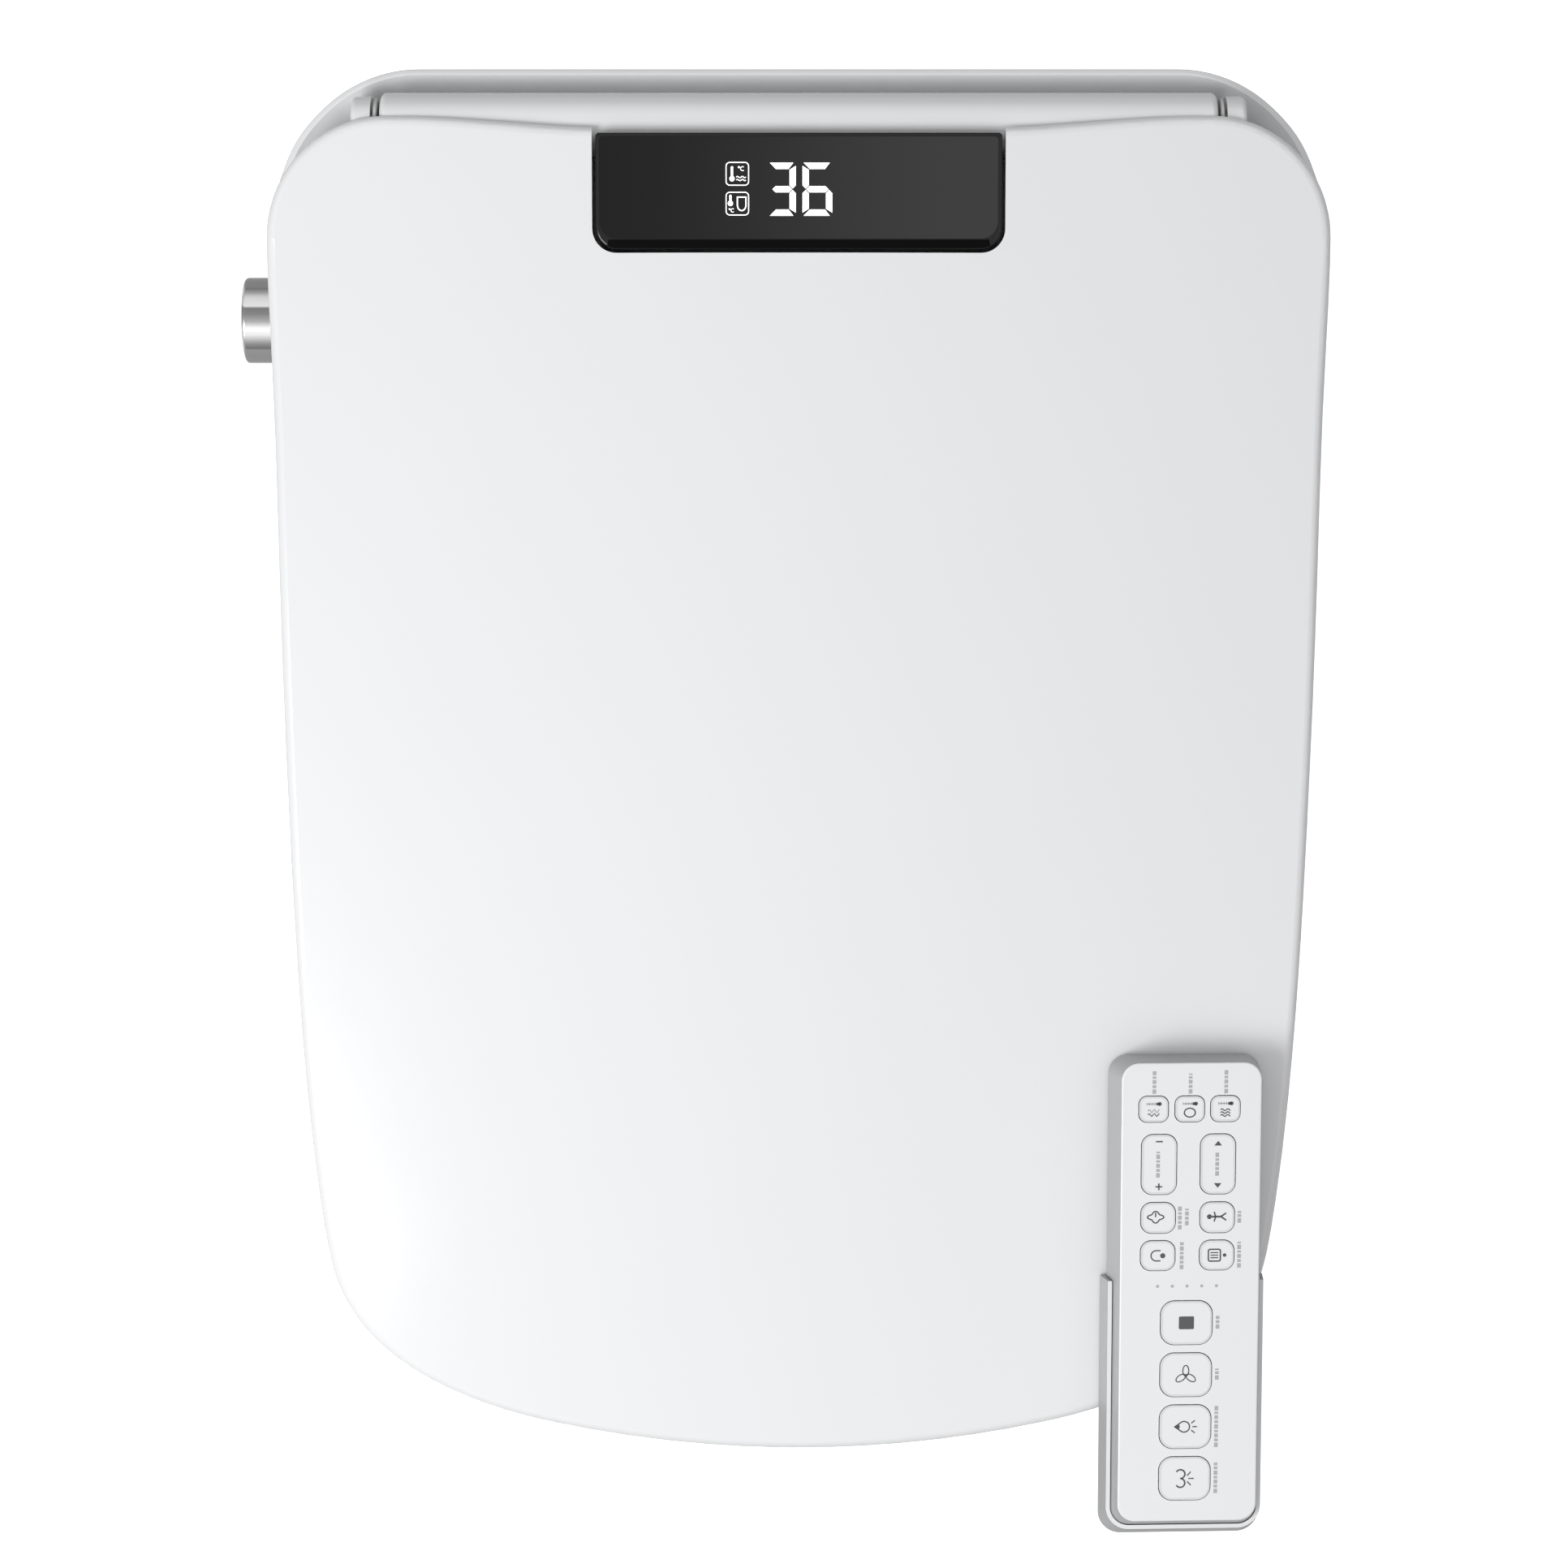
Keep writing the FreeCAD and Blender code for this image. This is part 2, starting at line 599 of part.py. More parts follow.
# upper shell
cover = shell.cut(below_seam)
hump = bar_x(size("hump_r"), -230, 230, SY, SZ).common(block(-230, 230, -90, -49, 30, 80))
cover = sum_of(cover, hump.common(raised(lid_outline(1.0), 0, 120)))
lug_slots = []
for side in (-1, 1):
    mid = side * size("lug_x")
    half = size("lug_w") / 2 + 0.6
    lug_slots.append(bar_x(size("lug_r") + 1.0, mid - half, mid + half, SY, SZ))
    lug_slots.append(block(mid - half, mid + half, -100, SY + 12.5, 38, 80))
    cheek_a = side * size("cheek_x")
    cheek_b = side * (size("cheek_x") + size("cheek_w"))
    x0, x1 = min(cheek_a, cheek_b), max(cheek_a, cheek_b)
    pillar = block(x0, x1, HY - size("cheek_r"), HY + size("cheek_r"), size("deck_z") - 4, HZ)
    cheek = sum_of(pillar, bar_x(size("cheek_r"), x0, x1, HY, HZ))
    cheek_edges = [e for e in cheek.Edges if e.BoundBox.ZMin > HZ - 0.1 and e.BoundBox.XLength < 0.1]
    cheek = cheek.makeFillet(2.0, [e for e in cheek_edges if abs(e.BoundBox.Center.x) > size("cheek_x") + 1])
    cover = sum_of(cover, cheek)
for tool in lug_slots:
    cover = cover.cut(tool)
cover = cover.cut(bar_x(size("hump_r") - size("case_wall"), -120, 120, SY, SZ))
cover = cover.cut(block(-120, 120, -77.5, -50.5, 24, SZ))
cheek_end = size("cheek_x") + size("cheek_w")
cover = cover.cut(bar_x(PIN + RUN, 0.9 - cheek_end, cheek_end - 0.9, HY, HZ))
cover = cover.cut(bar_x(PIN, -174, -126, SY, SZ)).cut(bar_x(PIN, 126, 174, SY, SZ))
knob_y, knob_z, knob_r = size("knob_y"), size("knob_z"), size("knob_r")
pad_round = bar_x(knob_r + 3.2, -199.2, -190, knob_y, knob_z).common(outer_case)
cover = sum_of(cover, pad_round)
cover = cover.cut(bar_x(knob_r + 0.6, -215, -195.5, knob_y, knob_z))
cover = cover.cut(bar_x(4.0, -200, -180, knob_y, knob_z))
display_well = block(-size("display_half") + 3, size("display_half") - 3, 6, 36, 70, 100)
cover = cover.cut(display_well)
for x, y in SCREWS:
    stud = Part.makeCylinder(4.2, size("deck_z") - SEAM - 1, Vector(x, y, SEAM)).common(outer_case)
    stud = stud.cut(Part.makeCylinder(1.5, 26, Vector(x, y, SEAM - 1)))
    if y > 0 or abs(x) < 180:
        cover = sum_of(cover, stud)
    else:
        cover = sum_of(cover, stud.common(block(-200, 200, -100, 0, SEAM, 44)))
feature("housing_cover", cover.removeSplitter())


# ---------------------------------------------------------------- seat ring
def seat_plan(inset):
    """The seat's plan: the lid's outline cut straight across at the seat's rear edge."""
    rear = size("seat_rear_y") - inset
    whole = raised(lid_outline(size("seat_inset") + inset), -10, 140)
    return whole.common(block(-230, 230, -480, rear, -20, 150))


def seat_hole(inset):
    return raised(oval_outline(-inset), -20, 150)


def seat_plane(drop=0.0):
    """The plane of the seat's top, lowered by drop, for use with between()."""
    rise = size("seat_slope")
    return (size("seat_front_z") + rise * size("front_radius") - drop, rise)


seat_wall = size("seat_wall")
seat_seam = size("seat_seam_z")
seat_base = size("seat_base_z")
seat_round = 7.0
solid_seat = seat_plan(0).common(between((seat_base, 0), seat_plane()))
top_edges = [e for e in solid_seat.Edges if e.BoundBox.ZMin > (40 if e.BoundBox.YMax < -90 else 60)]
solid_seat = solid_seat.makeFillet(seat_round, top_edges)
solid_seat = solid_seat.cut(seat_hole(0))
rim_edges = [e for e in solid_seat.Edges if e.BoundBox.ZMin > 40 and e.Closed and e.BoundBox.XMax < 130]
solid_seat = solid_seat.makeFillet(seat_round - 1, rim_edges)
tunnel = block(-24, 24, -130, -80, 0, 26)
hollow = seat_plan(seat_wall).cut(seat_hole(-seat_wall))
hollow = hollow.common(between((seat_base + seat_wall, 0), seat_plane(seat_wall)))
hollow = hollow.cut(block(-27, 27, -135, -75, 0, 29))
seat_shell = solid_seat.cut(hollow).cut(tunnel)
seat_split = block(-240, 240, -480, -60, -10, seat_seam)
seat_upper = seat_shell.cut(seat_split)
seat_lower = seat_shell.common(seat_split)
for side in (-1, 1):
    x0 = side * size("lug_x") - size("lug_w") / 2
    x1 = side * size("lug_x") + size("lug_w") / 2
    neck = block(x0, x1, size("seat_rear_y") - 4, SY, SZ - size("lug_r"), SZ + size("lug_r"))
    lug = bar_x(size("lug_r"), x0, x1, SY, SZ)
    lug_bore = bar_x(PIN + RUN, x0 - 1, x1 + 1, SY, SZ)
    seat_upper = sum_of(seat_upper, neck, lug).cut(lug_bore)
for side in (-1, 1):
    for y in (-130, -330):
        x = side * (158 if y > -200 else 146)
        post = Part.makeCylinder(5, 40, Vector(x, y, seat_seam)).common(hollow)
        seat_upper = sum_of(seat_upper, post)
feature("seat_top", seat_upper)
feature("seat_bottom", seat_lower)

film_low, film_high = seat_plane(seat_wall + 0.9), seat_plane(seat_wall)
film = seat_plan(14).cut(seat_hole(-14)).common(between(film_low, film_high))
for side in (-1, 1):
    for y in (-130, -330):
        x = side * (158 if y > -200 else 146)
        film = film.cut(Part.makeCylinder(5.4, 100, Vector(x, y, 0)))
feature("seat_heater", film)

seat_pads = []
for side in (-1, 1):
    for x, y in ((150, -112), (152, -300)):
        pad_body = rounded_plate(16, 34, 8 + 1.5, 6, Vector(side * x, y, 0))
        stem = Part.makeCylinder(3, seat_base + seat_wall + 1, Vector(side * x, y, 0))
        seat_pads.append(pad_body.common(block(-230, 230, -450, 0, 0, seat_base)).fuse(stem))
        seat_lower = seat_lower.cut(Part.makeCylinder(3, 30, Vector(side * x, y, 0)))
parts["seat_bottom"].Shape = seat_lower
feature("seat_pads", Part.makeCompound(seat_pads))

# pins on which the seat turns, pressed into the housing
seat_pins = []
for side, name in ((-1, "Left"), (1, "Right")):
    start = f"Dims.lug_x * {side} - 20"
    seat_pins.append(rod(f"SeatPin{name}", "Dims.rod_r", 40, (start, "Dims.seat_axis_y", "Dims.seat_axis_z"), "+X"))
keep("seat_pins", fuse("SeatPins", *seat_pins))

# ---------------------------------------------------------------- lid
lid_wall = size("lid_wall")
lid_half = size("barrel_half")
lid_body = raised(lid_outline(), -20, 160).common(under_crown(0)).common(above_skirt())


def on_crown(edge):
    """True for an edge that lies in the lid's top surface."""
    middle = edge.valueAt((edge.FirstParameter + edge.LastParameter) / 2)
    return abs(middle.z - lid_top(middle.x, middle.y)) < 0.1


crown_edges = [e for e in lid_body.Edges if on_crown(e)]
lid_body = lid_body.makeFillet(size("lid_round"), crown_edges)
lid_inside = raised(lid_outline(lid_wall), -20, 160).common(under_crown(lid_wall))
lid_body = lid_body.cut(lid_inside)
rear_clear = block(-cheek_end - 2, cheek_end + 2, 36, 60, 60, 140).common(under_crown(lid_wall))
lid_body = lid_body.cut(rear_clear)
window_front = size("display_front_y") - size("display_gap")
window_half = size("display_half") + size("display_gap")
window_corner = size("display_corner") + 1
window = rounded_plate(2 * window_half, 120, 160, window_corner, Vector(0, window_front + 60, 20))
lid_body = lid_body.cut(window)
bridges = []
for side in (-1, 1):
    x_mid = side * (window_half + 1.2 + lid_half - 8) / 2
    half = (lid_half - 8 - window_half - 1.2) / 2
    web = prism([(HY - 11.5, HZ), (HY - 13.5, HZ + 14), (HY - 4.6, HZ + 15.5), (HY - 4, HZ)], half, x_mid)
    bridges.append(web.common(under_crown(0.8)))
barrel = bar_x(size("barrel_r"), -lid_half, lid_half, HY, HZ)
barrel = smoothed(barrel, 2.5, lambda e: e.Closed)
lid_body = sum_of(lid_body, barrel, *bridges).cut(bar_x(PIN + RUN, -200, 200, HY, HZ))
feature("lid_shell", lid_body)

# rod on which the lid turns
rod_half = cheek_end - 1.2
keep("lid_rod", rod("LidRod", "Dims.rod_r", 2 * rod_half, (-rod_half, "Dims.hinge_y", "Dims.hinge_z"), "+X"))

# bumpers under the lid, which rest on the seat
bumper_gap = 0.2
bumpers = []
for side in (-1, 1):
    for x, y in ((152, -150), (142, -330)):
        low = seat_plane()[0] + seat_plane()[1] * y
        high = lid_top(x, y) - lid_wall + 0.4
        bumper = rounded_plate(9, 18, high - low, 4, Vector(side * x, y, low)).common(under_crown(lid_wall))
        bumpers.append(bumper.cut(between((0, 0), seat_plane(-bumper_gap))))
feature("lid_bumpers", Part.makeCompound(bumpers))

# ---------------------------------------------------------------- display
display_half, display_front, display_rear = size("display_half"), size("display_front_y"), size("display_rear_y")
display_corner = size("display_corner")
border, band = size("display_border"), size("display_band")
tilt = math.atan(size("lid_slope"))
display_top = (size("lid_front_z") + size("lid_slope") * size("front_radius") + 0.2, size("lid_slope"))


def display_plan(side_inset, front_inset):
    """The display's plan with small rear corners and large front corners."""
    half = display_half - side_inset
    rear, front = display_rear - side_inset, display_front + front_inset
    solid = block(-half, half, front, rear, 60, 150)
    front_r = max(display_corner - side_inset, 2.0)
    fronts = [e for e in solid.Edges if upright(e) and e.BoundBox.YMax < front + 1]
    solid = solid.makeFillet(front_r, fronts)
    return smoothed(solid, 1.5, lambda e: upright(e) and e.BoundBox.YMin > rear - 0.1)


def lowered(plane, drop):
    return (plane[0] - drop, plane[1])


under_barrel = bar_x(size("barrel_r") + 0.7, -200, 200, HY, HZ)
bezel = display_plan(0, 0).common(between((size("deck_z"), 0), display_top))
bezel_top = [e for e in bezel.Edges if e.BoundBox.ZMin > 108 and abs(e.tangentAt(e.FirstParameter).z) < 0.5]
bezel = bezel.makeFillet(1.0, bezel_top)
bezel = bezel.cut(outer_case).cut(under_barrel)
bezel = bezel.cut(block(-90, 90, HY - size("barrel_r") - 0.7, 60, 60, HZ))
pocket_plan = display_plan(border, band)
bezel = bezel.cut(pocket_plan.common(between(lowered(display_top, 1.8), (300, 0))))
under_window = block(-display_half + 3, display_half - 3, 6, 35, 80, 140)
bezel = bezel.cut(under_window.common(between((0, 0), lowered(display_top, 4.2))))
bezel = bezel.cut(block(-display_half + 8, display_half - 8, 9, 34, 100, 140))
feature("display_bezel", bezel)
feature("display_glass", pocket_plan.common(between(lowered(display_top, 1.8), lowered(display_top, 0.25))))

# seven-segment digits and two small pictograms, in the plane of the glass
glass_z = display_top[0] - 0.25


def on_glass(shape):
    """Lays a flat drawing made on Z = 0 onto the display's glass."""
    laid = shape.copy()
    turn = FreeCAD.Rotation(Vector(1, 0, 0), math.degrees(tilt))
    laid.Placement = FreeCAD.Placement(Vector(0, 0, glass_z), turn)
    return laid


def stroke(x, y, width, height, thick=0.1):
    return Part.makeBox(width, height, thick, Vector(x, y, 0))


SEGMENTS = {"3": "abcdg", "6": "acdefg"}
digit_w, digit_h, bar = 11.1, 19.6, 2.4


def digit(figure, x, y):
    """Seven-segment strokes for one figure with its lower left corner at (x, y)."""
    mid = (digit_h - bar) / 2
    long_bar = digit_h / 2 - 0.4
    places = {
        "a": (0.3, digit_h - bar, digit_w - 0.6, bar),
        "g": (0.3, mid, digit_w - 0.6, bar),
        "d": (0.3, 0, digit_w - 0.6, bar),
        "f": (0, digit_h / 2, bar, long_bar),
        "b": (digit_w - bar, digit_h / 2, bar, long_bar),
        "e": (0, 0.4, bar, long_bar),
        "c": (digit_w - bar, 0.4, bar, long_bar),
    }
    return [stroke(x + px, y + py, w, h) for px, py, w, h in (places[s] for s in SEGMENTS[figure])]


def ring_plate(x, y, side, line):
    outer = rounded_plate(side, side, 0.1, 1.6, Vector(x, y, 0))
    return outer.cut(rounded_plate(side - 2 * line, side - 2 * line, 1, 1.2, Vector(x, y, -0.5)))


marks = digit("3", -12.0, 12.6) + digit("6", 1.4, 12.6)
lit = marks[0].multiFuse(marks[1:5]), marks[5].multiFuse(marks[6:])
icons = []
for icon_y in (28.1, 17.1):
    icons.append(ring_plate(-23.0, icon_y, 8.7, 0.5))
    bulb = Part.makeCylinder(1.0, 0.1, Vector(-25.0, icon_y - 2.0, 0))
    icons.append(bulb.fuse(stroke(-25.4, icon_y - 2.0, 0.8, 5.0)))
    for k in range(3):
        icons.append(stroke(-22.6, icon_y - 2.6 + 1.9 * k, 3.2, 0.6))
feature("display_digits", Part.makeCompound([on_glass(s) for s in list(lit) + icons]))

# ---------------------------------------------------------------- side knob
knob_end, knob_back = size("knob_end_x"), -197.4
knob = bar_x(knob_r, knob_end, knob_back, knob_y, knob_z)
knob = knob.makeFillet(1.4, [e for e in knob.Edges if e.Closed and e.BoundBox.XMax < knob_end + 0.1])
knob = knob.makeFillet(0.6, [e for e in knob.Edges if e.Closed and e.BoundBox.XMin > knob_back - 0.1])
knob = knob.cut(bar_x(3.05, knob_end + 2.5, knob_back + 1, knob_y, knob_z))
feature("knob", knob)
spindle_at = ("Dims.knob_end_x + 2.8", "Dims.knob_y", "Dims.knob_z")
keep("knob_spindle", rod("KnobSpindle", 3.0, 34, spindle_at, "+X"))
encoder_case = box("EncoderCase", 12, 22, 22, (-190, "Dims.knob_y - 11", "Dims.knob_z - 11"))
encoder_bore = rod("EncoderBore", "3.0 + Dims.running", 20, (-192, "Dims.knob_y", "Dims.knob_z"), "+X")
keep("knob_encoder", cut("Encoder", encoder_case, encoder_bore))

# ---------------------------------------------------------------- washing wands
# Built along a line of their own: X across, Y back along the wand from its tip, Z square to it.
wand_frame = FreeCAD.Placement(wand_tip, FreeCAD.Rotation(Vector(1, 0, 0), size("wand_tilt")))
wand_r, wand_length = size("wand_r"), size("wand_length")
cradle_front, cradle_rear = 5.0, 62.0
roller_y, roller_r = 22.0, size("pinion_r")
roller_z = wand_r + 0.35 + roller_r
cradle = block(-20, 20, cradle_front, cradle_rear, -8.8, 8.8)
for x in wand_x:
    cradle = cradle.cut(Part.makeCylinder(wand_r + RUN, 90, Vector(x, 0, 0), Vector(0, 1, 0)))
    cradle = cradle.cut(block(x - 5, x + 5, roller_y - 9, roller_y + 9, 2, 20))
cradle = smoothed(cradle, 2.0, lambda e: e.BoundBox.YLength > 50 and abs(e.BoundBox.XMin) > 19)
feature("wand_cradle", cradle, wand_frame)

motors = []
for x, name in zip(wand_x, ("rear", "front")):
    wand = Part.makeCylinder(wand_r, wand_length, Vector(x, 0, 0), Vector(0, 1, 0))
    wand = wand.makeFillet(2.4, [e for e in wand.Edges if e.Closed and e.BoundBox.YMax < 0.1])
    holes = 3 if name == "rear" else 5
    for i in range(holes):
        angle = 2 * math.pi * i / holes
        at = Vector(x + 1.5 * math.cos(angle), 8 + 1.5 * math.sin(angle), 2)
        wand = wand.cut(Part.makeCylinder(0.5, 8, at))
    wand = wand.cut(Part.makeCylinder(3.0, wand_length - 20, Vector(x, 20, 0), Vector(0, 1, 0)))
    feature(f"wand_{name}", wand, wand_frame)
    way = 1 if x > 0 else -1
    wheel = bar_x(roller_r, x - 4, x + 4, roller_y, roller_z)
    wheel = wheel.makeFillet(0.8, [e for e in wheel.Edges if e.Closed])
    axle_start = min(x - way * 4.5, x + way * 20)
    axle = bar_x(1.5, axle_start, axle_start + 24.5, roller_y, roller_z)
    feature(f"roller_{name}", wheel.fuse(axle).removeSplitter(), wand_frame)
    can = bar_x(8.6, min(way * 22, way * 40), max(way * 22, way * 40), roller_y, roller_z)
    can = can.makeFillet(1.5, [e for e in can.Edges if e.Closed])
    motors.append(can.cut(bar_x(1.5 + RUN, -32, 32, roller_y, roller_z)))
feature("wand_motors", Part.makeCompound(motors), wand_frame)

# ---------------------------------------------------------------- warm-air dryer
blower_y, blower_z, blower_r = -4.0, 48.0, 27.0
scroll = bar_x(blower_r, duct_x - 15, duct_x + 15, blower_y, blower_z)
spout = prism([(-36, 19), (-36, 35), (blower_y - 6, 60), (blower_y, blower_z - blower_r)], 15, duct_x)
scroll = sum_of(scroll, spout)
inner_spout = prism([(-38, 20.8), (-38, 33), (blower_y - 6, 57), (blower_y, blower_z - blower_r + 2)], 13, duct_x)
scroll = scroll.cut(bar_x(blower_r - 2, duct_x - 13, duct_x + 13, blower_y, blower_z)).cut(inner_spout)
scroll = scroll.cut(bar_x(13, duct_x - 20, duct_x, blower_y, blower_z))
scroll = scroll.cut(bar_x(4, duct_x, duct_x + 20, blower_y, blower_z))
feature("blower_case", scroll.removeSplitter())
keep("blower_motor", rod("BlowerMotor", 16, 19, (duct_x + 15, blower_y, blower_z), "+X"))

fan = bar_x(21.5, duct_x - 10, duct_x + 10, blower_y, blower_z)
fan = fan.cut(bar_x(18.5, duct_x - 11, duct_x + 8, blower_y, blower_z))
hub = bar_x(4.5, duct_x - 6, duct_x + 10, blower_y, blower_z)
shaft = bar_x(1.6, duct_x + 8, duct_x + 14.6, blower_y, blower_z)
slits = []
for i in range(24):
    slit = block(duct_x - 8.5, duct_x + 7, 15, 25, -1.1, 1.1)
    slit.rotate(Vector(), Vector(1, 0, 0), 15 * i)
    slit.translate(Vector(0, blower_y, blower_z))
    slits.append(slit)
fan = sum_of(fan.cut(slits), hub, shaft)
feature("blower_fan", fan)

duct_path = [(-79.6, 9.6), (-79.6, 20.4), (-36.2, 35), (-36.2, 19)]
duct_way = [(-81, 11.2), (-81, 18.6), (-35, 33.2), (-35, 21)]
feature("dryer_duct", prism(duct_path, 14.4, duct_x).cut(prism(duct_way, 12.6, duct_x)))

# ---------------------------------------------------------------- water path
inlet_top = niche_top + 12
inlet = Part.makeCylinder(10.4, niche_top - 3.6, Vector(inlet_x, inlet_y, 3.6))
inlet = inlet.makeChamfer(0.9, [e for e in inlet.Edges if e.Closed and e.BoundBox.ZMax < 4])
inlet = sum_of(inlet, Part.makeCylinder(5.9, inlet_top - niche_top, Vector(inlet_x, inlet_y, niche_top)))
inlet = inlet.cut(Part.makeCylinder(4.0, 60, Vector(inlet_x, inlet_y, 0)))
feature("water_inlet", inlet)

valve_block = box("ValveBlock", 30, 26, 18, (inlet_x - 15, inlet_y - 13, inlet_top))
valve_coil = rod("ValveCoil", 10, 24, (inlet_x, inlet_y, inlet_top + 18))
keep("solenoid_valve", fuse("SolenoidValve", valve_block, valve_coil))

tank = new_body("water_heater", (-70, 5, 20))
tank_outline = sketch(tank, "tank_outline")
draw_rectangle(tank_outline, 58, 48)
tank_pad = pad(tank, tank_outline, 54, "TankPad")
tank_round = soften(tank, tank_pad, 7, upright, "TankRound")
tank_cap = sketch(tank, "tank_cap", "XY_Plane", 54)
draw_circle(tank_cap, 6)
pad(tank, tank_cap, 4, "TankCap")

flow_low = rod("FlowBody", 13, 30, (0, 46, 22))
flow_high = rod("FlowMotor", 10, 16, (0, 46, 52))
keep("flow_valve", fuse("FlowValve", flow_low, flow_high))


def pipe(points, radius=3.5):
    """A pipe of straight runs with round elbows, all of one radius."""
    runs = []
    for a, b in zip(points, points[1:]):
        runs.append(Part.makeCylinder(radius, (b - a).Length, a, b - a))
    joints = [Part.makeSphere(radius, p) for p in points[1:-1]]
    return sum_of(runs[0], *(runs[1:] + joints)) if len(runs) > 1 else runs[0]


cold = pipe([Vector(inlet_x + 15, 26, inlet_top + 9), Vector(-99, 26, inlet_top + 9)])
warm_way = [(-60, 29, 60), (-60, 46, 60), (-28, 46, 60), (-28, 46, 40), (-13, 46, 40)]
warm = pipe([Vector(*corner) for corner in warm_way])
feature("hoses", Part.makeCompound([cold, warm]))

# ---------------------------------------------------------------- electrics
for name, y_mid, z_low, depth, tall in (("control_board", 2, 58, 84, 9), ("power_board", 0, 20, 62, 26)):
    pcb = new_body(name, (138, y_mid, z_low))
    card = sketch(pcb, f"{name}_card")
    draw_rectangle(card, 52, depth)
    pad(pcb, card, 1.6, f"{name}_plate")
    chips = sketch(pcb, f"{name}_chips", "XY_Plane", 1.6)
    draw_rectangle(chips, 22, 24, "8", "12")
    pad(pcb, chips, tall, f"{name}_large")
    small = sketch(pcb, f"{name}_small", "XY_Plane", 1.6)
    draw_rectangle(small, 14, 10, "-14", "16")
    draw_rectangle(small, 10, 16, "-12", "-14")
    pad(pcb, small, tall * 0.5, f"{name}_low")

gland_tube = rod("GlandTube", 6.5, 7, (gland_x, 63.7, gland_z), "+Y")
gland_flange = rod("GlandFlange", 9, 3, (gland_x, 65.6, gland_z), "+Y")
gland_bore = rod("GlandBore", 3.6, 20, (gland_x, 55, gland_z), "+Y")
keep("power_gland", cut("PowerGland", fuse("GlandSolid", gland_tube, gland_flange), gland_bore))
keep("night_light", box("NightLight", 18, 4.5, 6, (lamp_x - 9, "Dims.case_front_y + 0.2", 10)))

feet = []
for side in (-1, 1):
    for x, y in ((120, -56), (150, 54)):
        feet.append(rounded_plate(14, 12, 3, 3, Vector(side * x, y, 0)))
feature("base_feet", Part.makeCompound(feet))

screws = []
for x, y in SCREWS:
    head = Part.makeCylinder(3.4, 2.2, Vector(x, y, 2.8))
    shank = Part.makeCylinder(1.5, 38, Vector(x, y, 5))
    along = block(x - 0.5, x + 0.5, y - 2.2, y + 2.2, 2, 4.2)
    across = block(x - 2.2, x + 2.2, y - 0.5, y + 0.5, 2, 4.2)
    screws.append(head.fuse(shank).cut(along.fuse(across)))
feature("case_screws", Part.makeCompound(screws))

# ---------------------------------------------------------------- fixing bracket and its release button
bracket = new_body("mount_bracket")
bracket_outline = sketch(bracket, "bracket_outline")
draw_rectangle(bracket_outline, "Dims.bracket_half * 2", "Dims.bracket_depth")
bracket_pad = pad(bracket, bracket_outline, "Dims.bracket_thick", "BracketPlate")
soften(bracket, bracket_pad, 5, upright, "BracketCorners")
for side, name in ((-1, "left"), (1, "right")):
    neck = sketch(bracket, f"neck_{name}", "XY_Plane", "Dims.bracket_thick")
    draw_rectangle(neck, 6, "Dims.bracket_depth - 4", f"Dims.rail_x * {side}", "0.001")
    pad(bracket, neck, 4, f"Neck_{name}")
    head = sketch(bracket, f"head_{name}", "XY_Plane", "Dims.bracket_thick + 4")
    draw_rectangle(head, 12, "Dims.bracket_depth - 4", f"Dims.rail_x * {side}", "0.001")
    pad(bracket, head, 3, f"Head_{name}")
for side, name in ((-1, "left"), (1, "right")):
    slot = sketch(bracket, f"slot_{name}", "XY_Plane")
    straight = "Dims.slot_length - Dims.slot_r * 2"
    draw_rectangle(slot, straight, "Dims.slot_r * 2", f"Dims.bolt_pitch / 2 * {side}", "0.0001")
    pocket(bracket, slot, "Dims.bracket_thick", f"Slot_{name}")
    for end, which in ((-1, "inner"), (1, "outer")):
        ends = sketch(bracket, f"slot_{name}_{which}", "XY_Plane")
        at_x = f"Dims.bolt_pitch / 2 * {side} + (Dims.slot_length / 2 - Dims.slot_r) * {end}"
        draw_circle(ends, "Dims.slot_r", at_x, "0.0001")
        pocket(bracket, ends, "Dims.bracket_thick", f"SlotEnd_{name}_{which}")

button_rod = rod("ButtonRod", button_r, 12, (186.2, button_y, button_z), "+X")
doc.recompute()
button_round = round_edges("ReleaseButton", button_rod, 0.8, lambda e: e.Closed and e.BoundBox.XMin > 198)
keep("release_button", button_round)

# ---------------------------------------------------------------- handset and its holder
# Built in a frame of its own: origin on the lid under its middle, X across, Y along, Z out of its face.
set_x, set_y = size("set_x"), size("set_y")
set_w, set_l = size("set_w"), size("set_l")
set_low, set_seam, set_face = size("set_low_z"), size("set_seam_z"), size("set_face_z")
lean = -2 * size("lid_crown") * set_x / size("half_width") ** 2
set_normal = Vector(-lean, -size("lid_slope"), 1).normalize()
set_along = Vector(0, 1, size("lid_slope")).normalize()
set_across = set_along.cross(set_normal)
set_turn = FreeCAD.Rotation(set_across, set_along, set_normal, "ZXY")
set_frame = FreeCAD.Placement(Vector(set_x, set_y, lid_top(set_x, set_y)) + set_normal * 0.25, set_turn)


def rectangle_wire(x0, x1, y0, y1, radius, z):
    """A closed rectangle with round corners at height z."""
    def corner(cx, cy, start):
        a0, a1, a2 = (math.radians(start + d) for d in (0, 45, 90))
        return [Vector(cx + radius * math.cos(a), cy + radius * math.sin(a), z) for a in (a0, a1, a2)]

    arcs = [
        corner(x1 - radius, y1 - radius, 0),
        corner(x0 + radius, y1 - radius, 90),
        corner(x0 + radius, y0 + radius, 180),
        corner(x1 - radius, y0 + radius, 270),
    ]
    edges = []
    for i, arc in enumerate(arcs):
        edges.append(Part.Arc(*arc).toShape())
        edges.append(Part.LineSegment(arc[2], arcs[(i + 1) % 4][0]).toShape())
    return Part.Wire(edges)


